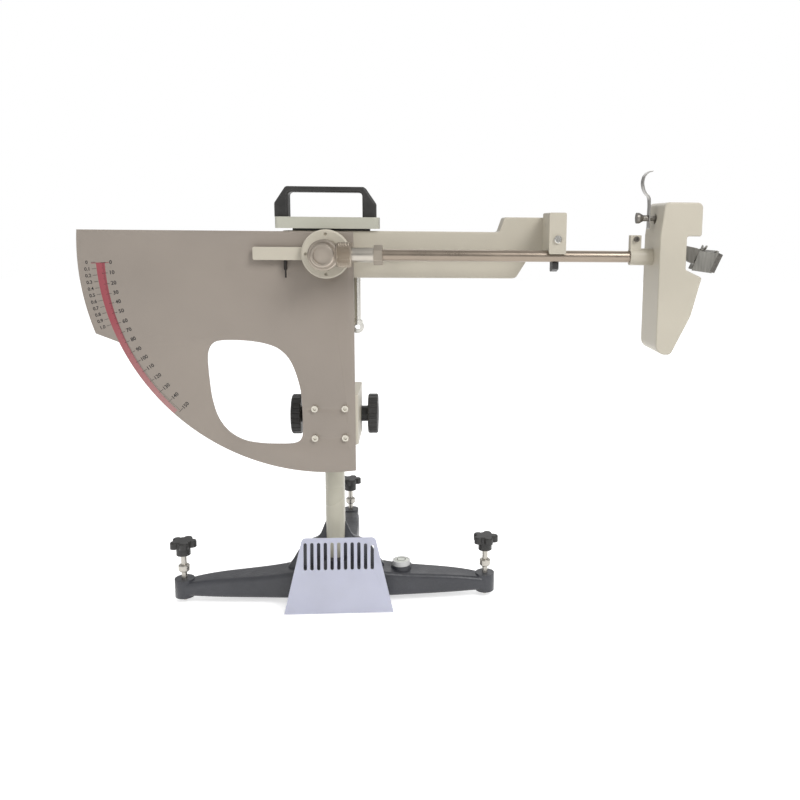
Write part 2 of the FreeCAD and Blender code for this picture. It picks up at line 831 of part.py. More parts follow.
def make_carriage():
    body = new_piece("carriage")
    half = size.carriage_width / 2
    top = carriage_top
    pad(body, "XY", size.carriage_bottom, top,
        (outline, (box_outline(-half, half, dial_back, size.carriage_back, size.carriage_corner),)))
    pocket(body, "XY", size.carriage_bottom - 1, top + 1,
           (circle, (0, 0, size.column_diameter + size.fit_gap * 2)))
    slot = size.rack_width / 2 + 0.5
    pocket(body, "XY", size.carriage_bottom - 1, top + 1,
           (outline, (box_outline(-slot, slot, size.rack_seat, size.rack_pitch_line + 1.6),)))
    chamber = size.pinion_width / 2 + 1
    rise = pinion_radius + size.gear_module + 1.5
    pocket(body, "XY", size.pinion_height - rise, size.pinion_height + rise,
           (outline, (box_outline(-chamber, chamber, size.rack_pitch_line - size.gear_module - 0.8,
                                  size.carriage_back + 1),)))
    pocket(body, "YZ", -half - 1, half + 1, (
        circle, (pinion_back, size.pinion_height, size.pinion_shaft_diameter + size.fit_gap * 2)))
    shoe = size.shoe_width / 2 + size.fit_gap * 2
    shoe_rise = size.shoe_height / 2 + size.fit_gap * 2
    pocket(body, "XY", clamp_height - shoe_rise, clamp_height + shoe_rise,
           (outline, (box_outline(-shoe, shoe, size.column_diameter / 4,
                                  size.shoe_back + size.clamp_travel + 0.5),)))
    pocket(body, "XZ", size.shoe_back, size.carriage_back + 1,
           (circle, (0, clamp_height, size.clamp_screw_diameter + size.fit_gap * 2)))
    spread = size.dial_screw_spacing / 2
    pocket(body, "XZ", dial_back - 1, dial_back + size.dial_screw_length,
           *[(circle, (x, z, size.dial_screw_diameter + size.fit_gap * 2))
             for x in (-spread, spread)
             for z in (size.dial_screw_middle - spread, size.dial_screw_middle + spread)])


def make_clamp():
    body = new_piece("clamp_shoe")
    half = size.shoe_width / 2
    low = clamp_height - size.shoe_height / 2
    high = clamp_height + size.shoe_height / 2
    pad(body, "XY", low, high, (outline, (box_outline(-half, half, size.column_diameter / 4 + 1,
                                                      size.shoe_back),)))
    pocket(body, "XY", low - 1, high + 1,
           (circle, (0, 0, size.column_diameter + size.face_gap * 2)))
    slot = size.rack_width / 2 + size.face_gap
    pocket(body, "XY", low - 1, high + 1,
           (outline, (box_outline(-slot, slot, size.column_diameter / 4,
                                  size.rack_pitch_line + size.gear_module + size.face_gap),)))
    nose = size.clamp_nose_diameter + size.fit_gap * 2
    pocket(body, "XZ", size.shoe_back - size.clamp_nose_length / 2 - size.face_gap,
           size.shoe_back + 1, (circle, (0, clamp_height, nose)))
    # screw from its nose in the shoe to the knob behind the carriage
    start = size.shoe_back - size.clamp_nose_length / 2
    neck = size.shoe_back + size.clamp_travel / 2
    knob = size.carriage_back + size.clamp_travel
    nose_radius = size.clamp_nose_diameter / 2
    thread = size.clamp_screw_diameter / 2
    end = knob - start + size.clamp_neck_length + 4
    turned("clamp_screw", [(0, 0), (nose_radius, 0), (nose_radius, neck - start),
                           (thread, neck - start), (thread, end), (0, end)],
           (0, start, clamp_height), to_back)
    star_knob("clamp_knob", (0, knob, clamp_height), to_back, size.clamp_neck_diameter,
              size.clamp_neck_length, size.clamp_neck_length + size.clamp_knob_depth,
              size.clamp_knob_core, size.clamp_knob_lobe, size.clamp_knob_lobe_circle,
              size.clamp_screw_diameter, size.clamp_neck_length + 4.5)


# Head frame: arm, beam, dial, handle

def make_head_arm():
    body = new_piece("head_arm")
    half = size.arm_half_width
    low = carriage_top
    back = dial_back + size.arm_depth
    pad(body, "XY", low, size.beam_bottom, (outline, (box_outline(-half, half, dial_back, back),)))
    wall = size.arm_wall
    pocket(body, "XZ", dial_back + wall, back + 1, (outline, (
        box_outline(-half + wall, half - wall, low + wall * 2, size.beam_bottom - wall * 2, wall),)))


def make_beam():
    body = new_piece("top_beam")
    back = dial_back + size.beam_depth
    pad(body, "XZ", dial_back, back, (outline, ([
        (size.beam_left, size.beam_bottom, 4), (size.beam_slope_start, size.beam_bottom, 8),
        (size.beam_nose_start, size.beam_nose_bottom, 8), (size.beam_right, size.beam_nose_bottom, 4),
        (size.beam_right, size.flag_top, 4), (size.flag_left + size.flag_rise, size.flag_top, 4),
        (size.flag_left, size.beam_top, 4), (size.beam_left, size.beam_top, 4)],)))
    dress(body, "Fillet", 1.5, lambda edge: all(abs(v.Y - value_of(dial_back)) < 0.01
                                                for v in edge.Vertexes))
    wall = size.beam_wall
    pocket(body, "XZ", dial_back + wall, back + 1, (outline, (
        box_outline(size.beam_pocket_left, size.beam_pocket_right, size.beam_bottom + wall,
                    size.beam_top - wall, wall),)))
    pocket(body, "XZ", dial_back - 1, back + 1, (
        circle, (0, size.pivot_height, size.barrel_diameter + size.fit_gap * 2)))
    middle = plate_middle()
    pocket(body, "XY", size.beam_top - 14, size.beam_top + 1,
           *[(circle, (x, middle, size.plate_screw_diameter + size.fit_gap * 2))
             for x in (-size.spacer_half_distance, size.spacer_half_distance)])
    for x, z in catch_screw_places():
        pocket(body, "XZ", dial_back - 1, back + 1,
               (circle, (x, z, size.catch_screw_diameter + size.fit_gap * 2)))


def plate_middle():
    return size.plate_front + size.plate_depth / 2


def make_dial():
    body = new_piece("dial_plate")
    scale = size.scale_radius
    outer = size.dial_outer_radius
    centre = (0, size.pivot_height)
    top = size.pivot_height + size.dial_above_pivot
    step = size.pivot_height - size.dial_step_below
    inner_step = size.pivot_height - size.dial_step_inner_below

    def across(radius, drop):
        return root(radius * radius - drop * drop)
    corners = [
        (-across(outer, size.dial_above_pivot), top),
        (-across(outer, size.dial_step_below), step),
        (-across(scale, size.dial_step_inner_below), inner_step),
        (size.dial_right, size.pivot_height - across(scale, size.dial_right)),
        (size.dial_right, top, 2),
    ]
    pad(body, "XZ", size.dial_front, dial_back,
        (outline, (corners, {0: centre, 2: centre})))
    # window between the left spoke and the middle strip
    window = [(-161, 372, 13), (-161, 392, 9), (-100, 392.5, 40), (-55, 380, 30), (-38, 330, 60),
              (-37.5, 249, 9), (-112, 252, 22), (-152, 284, 34)]
    drop = size.pivot_height - 508
    pocket(body, "XZ", size.dial_front - 1, dial_back + 1,
           (outline, ([(place[0], drop + place[1], place[2]) for place in window[1:]],)))
    pocket(body, "XZ", size.dial_front - 1, dial_back + 1,
           (circle, (0, size.pivot_height, size.barrel_diameter + size.fit_gap * 2)))
    spread = size.dial_screw_spacing / 2
    pocket(body, "XZ", size.dial_front - 1, dial_back + 1,
           *[(circle, (x, z, size.dial_screw_diameter + size.fit_gap * 2))
             for x in (-spread, spread)
             for z in (size.dial_screw_middle - spread, size.dial_screw_middle + spread)])


def make_screws(label, places, direction, diameter, length, head_diameter, head_height):
    """Socket screws as one group; each place is the middle of the seat under the head."""
    group = []
    lift = {"front": to_back, "top": Rotation(Vector(1, 0, 0), 180), "bottom": Rotation(),
            "back": to_front}[direction]
    for n, place in enumerate(places):
        parts = []
        for name, radius, low, high in (
                ("Shank", diameter / 2, as_size(0), as_size(length)),
                ("Head", head_diameter / 2, -as_size(head_height), as_size(0))):
            part = doc.addObject("Part::Cylinder", label + name + str(n))
            bind(part, "Radius", radius)
            bind(part, "Height", high - low)
            part.Placement = FreeCAD.Placement(Vector(), lift)
            step = lift.multVec(Vector(0, 0, 1))
            for axis, amount, along in zip("xyz", place, step):
                bind(part, "Placement.Base." + axis, amount + low * round(along))
            parts.append(part)
        socket = doc.addObject("Part::Prism", label + "Socket" + str(n))
        socket.Polygon = 6
        bind(socket, "Circumradius", head_diameter * 0.28)
        bind(socket, "Height", as_size(head_height) * 0.6)
        socket.Placement = FreeCAD.Placement(Vector(), lift)
        step = lift.multVec(Vector(0, 0, 1))
        for axis, amount, along in zip("xyz", place, step):
            bind(socket, "Placement.Base." + axis, amount - as_size(head_height) * round(along))
        whole = doc.addObject("Part::Fuse", label + "Whole" + str(n))
        whole.Base, whole.Tool = parts
        screw = doc.addObject("Part::Cut", label + "Screw" + str(n))
        screw.Base, screw.Tool = whole, socket
        group.append(screw)
    doc.recompute()
    return group


def gather(label, members):
    """Separate solids kept as one piece."""
    group = doc.addObject("Part::Compound", label)
    group.Label = label
    group.Links = members
    pieces.append(group)
    doc.recompute()
    return group


def make_dial_screws():
    spread = size.dial_screw_spacing / 2
    places = [(x, size.dial_front, z) for x in (-spread, spread)
              for z in (size.dial_screw_middle - spread, size.dial_screw_middle + spread)]
    gather("dial_screws", make_screws("Dial", places, "front", size.dial_screw_diameter,
                                      size.dial_screw_length, size.dial_screw_head, 4))


def make_handle():
    low = size.beam_top + size.spacer_height
    high = low + size.plate_height
    half = size.plate_width / 2
    back = size.plate_front + size.plate_depth
    plate = new_piece("handle_plate")
    pad(plate, "XY", low, high, (outline, (box_outline(-half, half, size.plate_front, back, 6),)))
    middle = plate_middle()
    holes = [(x, middle) for x in (-size.spacer_half_distance, size.spacer_half_distance)]
    pocket(plate, "XY", low - 1, high + 1,
           *[(circle, (x, y, size.plate_screw_diameter + size.fit_gap * 2)) for x, y in holes])
    pocket(plate, "XY", high - 7, high + 1,
           *[(circle, (x, y, size.plate_screw_head + size.fit_gap * 2)) for x, y in holes])
    legs = [size.handle_shift + sign * (size.handle_width / 2 - size.handle_leg / 2)
            for sign in (-1, 1)]
    pocket(plate, "XY", low - 1, high + 1,
           *[(circle, (x, middle, size.handle_screw_diameter + size.fit_gap * 2)) for x in legs])
    pocket(plate, "XY", low - 1, low + 6,
           *[(circle, (x, middle, size.plate_screw_head + size.fit_gap * 2)) for x in legs])

    grip = new_piece("carry_handle")
    left = size.handle_shift - size.handle_width / 2
    right = size.handle_shift + size.handle_width / 2
    top = high + size.handle_height
    shoulder = high + size.handle_shoulder
    inset = size.handle_shoulder_inset
    leg = size.handle_leg
    bar = top - size.handle_bar
    pad(grip, "XZ", middle - size.handle_depth / 2, middle + size.handle_depth / 2, (outline, ([
        (left, high), (left + leg, high), (left + leg, bar, 5), (right - leg, bar, 5),
        (right - leg, high), (right, high), (right, shoulder, 5), (right - inset, top, 5),
        (left + inset, top, 5), (left, shoulder, 5)],)))
    pocket(grip, "XY", high - 1, high + 9,
           *[(circle, (x, middle, size.handle_screw_diameter + size.fit_gap * 2)) for x in legs])
    outer = value_of(size.handle_depth) / 2 - 0.01

    def long_edge(edge):
        return all(abs(abs(v.Y - value_of(middle)) - outer) < 0.1 and v.Z > value_of(high) + 0.1
                   for v in edge.Vertexes)
    dress(grip, "Fillet", 3, long_edge)

    members = []
    for n, (x, y) in enumerate(holes):
        members.append(ring("Spacer" + str(n), size.plate_screw_diameter / 2 + size.fit_gap,
                            size.spacer_diameter / 2, size.spacer_height,
                            (x, y, size.beam_top), Rotation()))
    members += make_screws("Plate", [(x, y, high - 7) for x, y in holes], "top",
                           size.plate_screw_diameter, size.plate_height - 7 + size.spacer_height + 12,
                           size.plate_screw_head, 6)
    members += make_screws("Grip", [(x, middle, low + 6) for x in legs], "bottom",
                           size.handle_screw_diameter, size.plate_height - 6 + 8,
                           size.plate_screw_head, 5)
    gather("handle_fixings", members)


# Catch that holds the pendulum level

latch_pivot_y = size.rod_front + size.latch_pivot_behind_rod
latch_pivot_z = rod_height + size.latch_pivot_above_rod
rod_radius = size.rod_diameter / 2


def catch_screw_places():
    return [(size.catch_place, rod_height + 12), (size.catch_place, rod_height + 44)]


def make_catch():
    body = new_piece("catch_block")
    left = size.catch_place - size.catch_width / 2
    right = size.catch_place + size.catch_width / 2
    pad(body, "XZ", size.catch_front, dial_back, (outline, (
        box_outline(left, right, size.catch_bottom, size.catch_top, 2),)))
    pocket(body, "YZ", left - 1, right + 1, (
        circle, (size.rod_front, rod_height, size.rod_diameter + size.rod_seat_gap * 2)))
    slot = size.latch_width / 2 + size.face_gap
    front = size.rod_front + size.latch_arm_front - 9
    back = dial_back - 10
    pocket(body, "XZ", front, back, (outline, (
        box_outline(size.catch_place - slot, size.catch_place + slot, size.catch_bottom - 1,
                    latch_pivot_z + size.latch_boss_diameter / 2 + 1),)))
    pocket(body, "YZ", left - 1, right + 1, (
        circle, (latch_pivot_y, latch_pivot_z, size.latch_pin_diameter + size.fit_gap * 2)))
    button_z = rod_height + size.button_above_rod
    pocket(body, "XZ", size.catch_front - 1, front + 1, (
        circle, (size.catch_place, button_z, size.button_stem_diameter + size.fit_gap * 2)))
    pocket(body, "XZ", size.catch_front - 1, size.catch_front + size.button_head_length, (
        circle, (size.catch_place, button_z, size.button_diameter + size.fit_gap * 2)))
    for x, z in catch_screw_places():
        pocket(body, "XZ", dial_back - 9, dial_back + 1,
               (circle, (x, z, size.catch_screw_diameter + size.fit_gap * 2)))

    pin_length = size.catch_width
    pin = doc.addObject("Part::Cylinder", "LatchPin")
    bind(pin, "Radius", size.latch_pin_diameter / 2)
    bind(pin, "Height", pin_length)
    pin.Placement = FreeCAD.Placement(Vector(), to_right)
    for axis, amount in zip("xyz", (left, latch_pivot_y, latch_pivot_z)):
        bind(pin, "Placement.Base." + axis, amount)
    screws = make_screws("Catch", [(x, dial_back + size.beam_depth, z)
                                   for x, z in catch_screw_places()], "back",
                         size.catch_screw_diameter, size.beam_depth + 8, as_size(9), 5)
    gather("catch_fixings", [pin] + screws)

    latch = new_piece("release_latch")
    arm_front = size.rod_front + size.latch_arm_front
    arm_back = arm_front + size.latch_arm_thickness
    toe_top = rod_height - rod_radius - size.face_gap
    toe_low = toe_top - size.latch_toe_height
    x_low = size.catch_place - size.latch_width / 2
    x_high = size.catch_place + size.latch_width / 2
    pad(latch, "YZ", x_low, x_high, (outline, ([
        (size.rod_front + size.latch_toe_reach, toe_low + 4, 2), (arm_front, toe_low, 2),
        (arm_back, toe_low, 3), (arm_back, latch_pivot_z), (arm_front, latch_pivot_z),
        (arm_front, toe_top, 3), (size.rod_front + size.latch_toe_reach, toe_top, 1)],)))
    pad(latch, "YZ", x_low, x_high,
        (circle, (latch_pivot_y, latch_pivot_z, size.latch_boss_diameter)))
    pocket(latch, "YZ", x_low - 1, x_high + 1, (
        circle, (latch_pivot_y, latch_pivot_z, size.latch_pin_diameter + size.fit_gap * 2)))

    # button: head in the front counterbore, stem to just in front of the latch arm
    start = size.catch_front - size.button_proud
    head = size.button_head_length - size.button_travel - size.face_gap + size.button_proud
    stem_end = arm_front - size.face_gap - start
    radius = size.button_diameter / 2
    stem = size.button_stem_diameter / 2
    turned("release_button", [(0, 0), (radius - 1, 0), (radius, 1), (radius, head), (stem, head),
                              (stem, stem_end - 2), (stem - 2, stem_end), (0, stem_end)],
           (size.catch_place, start, button_z), to_back)


# Bearing housing, felt friction and pointer

def make_housing():
    front_length = dial_back - size.nose_front
    body = new_piece("bearing_housing", (0, dial_back, size.pivot_height), to_front)
    barrel = size.barrel_diameter / 2
    nose = size.nose_diameter / 2
    bore = size.housing_bore / 2
    seat = size.bearing_diameter / 2 + size.fit_gap
    back = -size.beam_depth
    shoulder = size.dial_thickness
    revolve(body, [(seat, back), (barrel, back), (barrel, shoulder), (nose, shoulder),
                   (nose, front_length), (seat, front_length),
                   (seat, front_length - size.bearing_lip - size.bearing_width),
                   (bore, front_length - size.bearing_lip - size.bearing_width),
                   (bore, back + size.bearing_lip + size.bearing_width),
                   (seat, back + size.bearing_lip + size.bearing_width)])

    inner = size.spindle_diameter / 2
    outer = size.bearing_diameter / 2
    rings = (("Inner", inner + size.fit_gap, inner + size.race_thickness, size.bearing_width),
             ("Cage", inner + size.race_thickness + 0.2, outer - size.race_thickness - 0.2,
              size.bearing_width - 1.5),
             ("Outer", outer - size.race_thickness, outer, size.bearing_width))
    members = []
    for n, low in enumerate((size.nose_front + size.bearing_lip,
                             dial_back + size.beam_depth - size.bearing_lip - size.bearing_width)):
        middle = low + size.bearing_width / 2
        for name, hollow, rim, width in rings:
            members.append(ring("Bearing" + name + str(n), hollow, rim, width,
                                (0, middle - width / 2, size.pivot_height), to_back))
    gather("spindle_bearings", members)


def ring(name, inner, outer, length, at, turn):
    """Flat ring that starts at a place and runs along the turned Z axis."""
    solid = doc.addObject("Part::Cylinder", name + "Disc")
    hollow = doc.addObject("Part::Cylinder", name + "Bore")
    bind(solid, "Radius", outer)
    bind(hollow, "Radius", inner)
    for part in (solid, hollow):
        bind(part, "Height", length)
        part.Placement = FreeCAD.Placement(Vector(), turn)
        for axis, amount in zip("xyz", at):
            bind(part, "Placement.Base." + axis, amount)
    whole = doc.addObject("Part::Cut", name)
    whole.Base, whole.Tool = solid, hollow
    return whole


def make_friction():
    inner = size.nose_diameter / 2 + size.fit_gap
    rim = size.felt_diameter / 2
    members = [ring("Felt" + str(n), inner, rim, size.felt_thickness, (0, front, size.pivot_height),
                    to_front)
               for n, front in enumerate((size.dial_front, hub_front() - size.face_gap))]
    gather("felt_washers", members)
    start = hub_front() - size.face_gap - size.felt_thickness
    length = start - size.friction_ring_front
    outer = size.friction_ring_diameter / 2
    body = turned("friction_ring", [(inner, 0), (outer, 0), (outer, length - 2),
                                    (outer - 2, length), (inner, length)],
                  (0, start, size.pivot_height), to_front)
    hole = pocket(body, "XY", length - 3, length + 1, (circle, (outer - 6, 0, as_size(4))))
    around(body, hole, as_size(4))


def hub_back():
    return size.dial_front - size.felt_thickness - size.face_gap


def hub_front():
    return hub_back() - size.pointer_hub_length


def make_pointer():
    body = new_piece("pointer_arm", (0, hub_back(), size.pivot_height), to_front)
    inner = size.nose_diameter / 2 + size.fit_gap
    rim = size.felt_diameter / 2
    length = size.pointer_hub_length
    revolve(body, ring_profile(inner, rim, as_size(0), length))
    half = size.tail_height / 2
    low = (length - size.tail_thickness) / 2 - 1
    pad(body, "XY", low, low + size.tail_thickness, (outline, ([
        (-size.tail_length, -half, 2), (-inner - 4, -half), (-inner - 4, half),
        (-size.tail_length, half, 2)],)))
    seat = half * 0.7
    pad(body, "XY", length - 5, length, (outline, ([
        (inner + 4, -seat), (size.needle_seat_end - 2, -seat, 2), (size.needle_seat_end - 2, seat, 2),
        (inner + 4, seat)],)))

    needle = new_piece("pointer_needle")
    front = hub_front()
    thick = size.needle_thickness
    tip_y = size.dial_front - size.needle_above_dial
    start = rim + 2
    high = size.needle_height / 2
    pad(needle, "XY", rod_height - high, rod_height + high, (outline, ([
        (start, front), (start, front - thick), (size.needle_seat_end, front - thick, 8),
        (size.needle_bend_end, tip_y - thick, 8), (size.needle_length, tip_y - thick),
        (size.needle_length, tip_y), (size.needle_bend_end, tip_y, 7),
        (size.needle_seat_end, front, 7)],)))
    end = size.needle_tip_height / 2
    for sign in (-1, 1):
        pocket(needle, "XZ", front - thick - 1, tip_y + 1, (outline, ([
            (size.needle_bend_end, rod_height + high * sign),
            (size.needle_length + 1, rod_height + end * sign),
            (size.needle_length + 1, rod_height + (high + 1) * sign),
            (size.needle_bend_end, rod_height + (high + 1) * sign)],)))

    stop = new_piece("pointer_stop")
    stop_top = rod_height - half - size.face_gap
    wide = size.stop_width / 2
    place = -size.stop_place
    pad(stop, "XZ", size.dial_front - size.stop_length, size.dial_front, (outline, (
        box_outline(place - wide, place + wide, stop_top - size.stop_height, stop_top, 1),)))


def make_hanger():
    top = size.beam_bottom
    low = top - size.hanger_length
    middle = dial_back + size.beam_depth / 2
    rod = doc.addObject("Part::Cylinder", "HangerRod")
    bind(rod, "Radius", size.hanger_diameter / 2)
    bind(rod, "Height", size.hanger_length)
    collar = doc.addObject("Part::Cylinder", "EyeCollar")
    bind(collar, "Radius", size.eye_collar_diameter / 2)
    bind(collar, "Height", size.eye_collar_height)
    disc = doc.addObject("Part::Cylinder", "EyeDisc")
    bind(disc, "Radius", size.eye_diameter / 2)
    hole = doc.addObject("Part::Cylinder", "EyeHole")
    bind(hole, "Radius", size.eye_hole / 2)
    eye_middle = low - size.eye_collar_height - size.eye_hole / 2
    for part, extra in ((disc, 0), (hole, 1)):
        bind(part, "Height", size.eye_thickness + extra * 2)
        part.Placement = FreeCAD.Placement(Vector(), to_back)
        bind(part, "Placement.Base.y", middle - size.eye_thickness / 2 - extra)
        bind(part, "Placement.Base.z", eye_middle)
    for part, z in ((rod, low), (collar, low - size.eye_collar_height)):
        bind(part, "Placement.Base.y", middle)
        bind(part, "Placement.Base.z", z)
    for part in (rod, collar, disc, hole):
        bind(part, "Placement.Base.x", size.hanger_place)
    joined = doc.addObject("Part::Fuse", "EyeBlank")
    joined.Base, joined.Tool = collar, disc
    eye = doc.addObject("Part::Cut", "Eye")
    eye.Base, eye.Tool = joined, hole
    gather("hanger_rod", [rod, eye])


# Pendulum arm

def make_knuckle():
    rear = size.knuckle_back
    length = size.knuckle_back - size.knuckle_front
    radius = size.knuckle_diameter / 2
    body = new_piece("knuckle", (0, rear, rod_height), to_front)
    revolve(body, [(0, 0), (radius - 1.5, 0), (radius, 1.5), (radius, length - 1.5),
                   (radius - 1.5, length), (0, length)])
    pocket(body, "XY", as_size(-1), length + 1, (outline, (
        box_outline(size.collar_start, radius + 1, -radius - 1, radius + 1),)))
    pocket(body, "XY", as_size(-1), size.spindle_depth_in_knuckle, (
        circle, (0, 0, size.spindle_diameter + size.fit_gap * 2)))
    rod_in = rear - size.rod_front
    pocket(body, "YZ", size.rod_start - size.fit_gap, size.collar_start + 1, (
        circle, (0, rod_in, size.rod_diameter + size.fit_gap * 2)))

    start = rear - size.spindle_depth_in_knuckle + size.face_gap
    back = dial_back + size.beam_depth + size.spindle_behind_bearing
    spindle = size.spindle_diameter / 2
    turned("spindle", [(0, 0), (spindle, 0), (spindle, back - start - 1),
                       (spindle - 1, back - start), (0, back - start)],
           (0, start, rod_height), to_back)

    cap = size.cap_diameter / 2
    recess = size.cap_recess_diameter / 2
    deep = size.cap_length - size.cap_recess_depth
    turned("knuckle_cap", [(0, 0), (cap, 0), (cap, size.cap_length - 1.5),
                           (cap - 1.5, size.cap_length), (recess, size.cap_length), (recess, deep),
                           (0, deep)], (0, size.knuckle_front, rod_height), to_front)


def make_rod():
    bore = size.rod_diameter / 2 + size.fit_gap
    at_collar = (size.collar_start, size.rod_front, rod_height)
    rim = size.collar_diameter / 2
    length = size.collar_length
    collar = turned("rod_collar", [(bore, 0), (rim, 0), (rim, length - 2), (rim - 2, length),
                                   (bore, length)], at_collar, to_right)
    dress(collar, "Chamfer", 0.8, lambda edge: is_round(edge) and at_height(0)(edge)
          and edge.Curve.Radius > value_of(rim) - 0.1)
    sleeve_start = size.collar_start + length
    turned("rod_sleeve", ring_profile(bore, size.sleeve_diameter / 2, as_size(0), size.sleeve_length),
           (sleeve_start, size.rod_front, rod_height), to_right)
    nut_start = sleeve_start + size.sleeve_length
    nut = new_piece("rod_lock_nut", (nut_start, size.rod_front, rod_height), to_right)
    corner = size.rod_nut_width / math.sqrt(3)
    hexagon = [(corner * math.cos(math.radians(60 * k)), corner * math.sin(math.radians(60 * k)))
               for k in range(6)]
    pad(nut, "XY", as_size(0), size.rod_nut_length, (outline, (hexagon,)))
    pocket(nut, "XY", as_size(-1), size.rod_nut_length + 1, (circle, (0, 0, bore * 2)))

    rod = turned("pendulum_rod", ring_profile(rod_radius - size.rod_wall, rod_radius, as_size(0),
                                              size.rod_end - size.rod_start),
                 (size.rod_start, size.rod_front, rod_height), to_right)
    # pin that pushes the pointer, above the needle at rest; in the rod's own frame -X is up
    above = size.needle_height / 2 + size.face_gap + size.pusher_diameter / 2
    reach = size.dial_front - size.rod_front - size.needle_above_dial + 0.5
    pin_start = root(rod_radius * rod_radius - above * above) - 1
    pad(rod, "XZ", pin_start, reach, (
        circle, (-above, size.pusher_place - size.rod_start, size.pusher_diameter)))


def head_corners(inset):
    """Outline of the head seen from the front, moved inwards by the wall."""
    low = rod_height + size.head_bottom
    high = rod_height + size.head_top
    left = size.head_left
    notch_high = rod_height + size.notch_top
    notch_low = rod_height + size.notch_bottom
    corner = size.head_corner - inset
    return [
        (left + inset, low + inset, corner + 6), (size.tail_tip_right - inset, low + inset, corner),
        (size.tail_shoulder_right - inset, rod_height + size.tail_shoulder, 30),
        (size.lip_right - inset, rod_height + size.lip_height + inset, 3),
        (size.notch_left - inset, notch_low - inset, 3),
        (size.notch_left - inset, notch_high + inset, 3),
        (size.head_right - inset, notch_high + inset, 3),
        (size.head_right - inset, high - inset, corner), (left + 5 + inset, high - inset, corner),
        (left + inset, rod_height + size.notch_top, 20)]


def cover_screw_places():
    # the posts are sunk into the walls beside them
    off = size.head_wall + size.cover_post_diameter / 2 - 1.5
    high = rod_height + size.head_top - off
    return [(size.head_left + 5.5 + off, high), (size.head_right - off, high),
            (size.head_left + off + 0.5, rod_height + size.head_bottom + off + 4),
            (size.head_left + off, rod_height + size.notch_bottom - 12)]


def make_head():
    body = new_piece("head_body")
    back = size.head_front + size.head_depth
    wall = size.head_wall
    pad(body, "XZ", size.head_front, back, (outline, (head_corners(as_size(0)),)))
    dress(body, "Fillet", size.head_edge, lambda edge: all(
        abs(v.Y - value_of(size.head_front)) < 0.01 for v in edge.Vertexes))
    pocket(body, "XZ", size.head_front + wall, back + 1, (outline, (head_corners(wall),)))
    # bosses inside: the rod socket, the lever's pin and the cover's screw posts
    pad(body, "YZ", size.head_left + wall / 2, size.rod_end + 2, (
        circle, (size.rod_front, rod_height, size.rod_socket_diameter)))
    pocket(body, "YZ", size.head_left - 1, size.rod_end + size.fit_gap, (
        circle, (size.rod_front, rod_height, size.rod_diameter + size.fit_gap * 2)))
    post_front = size.head_front + wall / 2
    for x, z in cover_screw_places():
        pad(body, "XZ", post_front, back, (circle, (x, z, size.cover_post_diameter)))
        pocket(body, "XZ", back - 12, back + 1,
               (circle, (x, z, size.cover_screw_diameter + size.fit_gap * 2)))
    pivot_z = rod_height + size.lever_pivot_below
    half = size.lever_thickness / 2 + size.face_gap
    pad(body, "XZ", post_front, size.rod_front - half, (
        circle, (size.lever_pivot_place, pivot_z, size.lever_boss_diameter * 0.8)))
    pocket(body, "XZ", size.head_front + wall, size.rod_front, (
        circle, (size.lever_pivot_place, pivot_z, size.lever_pin_diameter + size.fit_gap * 2)))
    # slot in the notch for the lever's fork, and the hole for the lifting stem
    slot = size.lever_thickness / 2 + 1.5
    pocket(body, "YZ", size.notch_left - wall - 1, size.head_right + 5, (outline, (
        box_outline(size.rod_front - slot, size.rod_front + slot, rod_height + size.notch_bottom + 3,
                    rod_height + size.notch_top - 1),)))
    pocket(body, "YZ", size.head_left - 2, size.head_left + wall + 8, (
        circle, (size.rod_front, rod_height + size.hook_height - 1, size.stem_hole_diameter)))

    cover = new_piece("head_cover")
    pad(cover, "XZ", back, back + size.cover_thickness, (outline, (head_corners(as_size(0)),)))
    for x, z in cover_screw_places():
        pocket(cover, "XZ", back - 1, back + size.cover_thickness + 1,
               (circle, (x, z, size.cover_screw_diameter + size.fit_gap * 2)))
    pocket(cover, "XZ", back - 1, back + size.cover_thickness - 1, (
        circle, (size.lever_pivot_place, pivot_z, size.lever_pin_diameter + size.fit_gap * 2)))

    places = [(x, back + size.cover_thickness, z) for x, z in cover_screw_places()]
    screws = make_screws("Cover", places, "back", size.cover_screw_diameter, size.cover_thickness + 9,
                         as_size(7), 1.6)
    lug = clamp_lug_middle()
    bolt = make_screws("ClampBolt", [(lug[0], size.rod_front - size.clamp_lug_depth / 2, lug[1])],
                       "front", size.clamp_bolt_diameter, size.clamp_lug_depth, as_size(7), 4)
    gather("pendulum_screws", screws + bolt)

    pin = size.lever_pin_diameter / 2
    pin_start = size.head_front + wall + size.face_gap
    turned("lever_pin", [(0, 0), (pin, 0), (pin, back + 0.5 - pin_start), (0, back + 0.5 - pin_start)],
           (size.lever_pivot_place, pin_start, pivot_z), to_back)


def clamp_lug_middle():
    start = size.head_left - size.clamp_collar_length
    return (start + size.clamp_lug_length / 2, rod_height + size.clamp_lug_height - 5)


def make_head_clamp():
    body = new_piece("head_clamp")
    start = size.head_left - size.clamp_collar_length
    pad(body, "YZ", start, size.head_left, (
        circle, (size.rod_front, rod_height, size.clamp_collar_diameter)))
    half = size.clamp_lug_depth / 2
    pad(body, "YZ", start, start + size.clamp_lug_length, (outline, (
        box_outline(size.rod_front - half, size.rod_front + half, rod_height + rod_radius,
                    rod_height + size.clamp_lug_height),)))
    pocket(body, "YZ", start - 1, size.head_left + 1, (
        circle, (size.rod_front, rod_height, size.rod_diameter + size.fit_gap * 2)))
    slit = size.clamp_slit / 2
    pocket(body, "YZ", start - 1, start + size.clamp_lug_length + 4, (outline, (
        box_outline(size.rod_front - slit, size.rod_front + slit, rod_height + rod_radius - 1,
                    rod_height + size.clamp_lug_height + 1),)))
    lug = clamp_lug_middle()
    pocket(body, "XZ", size.rod_front - half - 1, size.rod_front + half + 1, (
        circle, (lug[0], lug[1], size.clamp_bolt_diameter + size.fit_gap * 2)))


# Slider lever and lifting hook

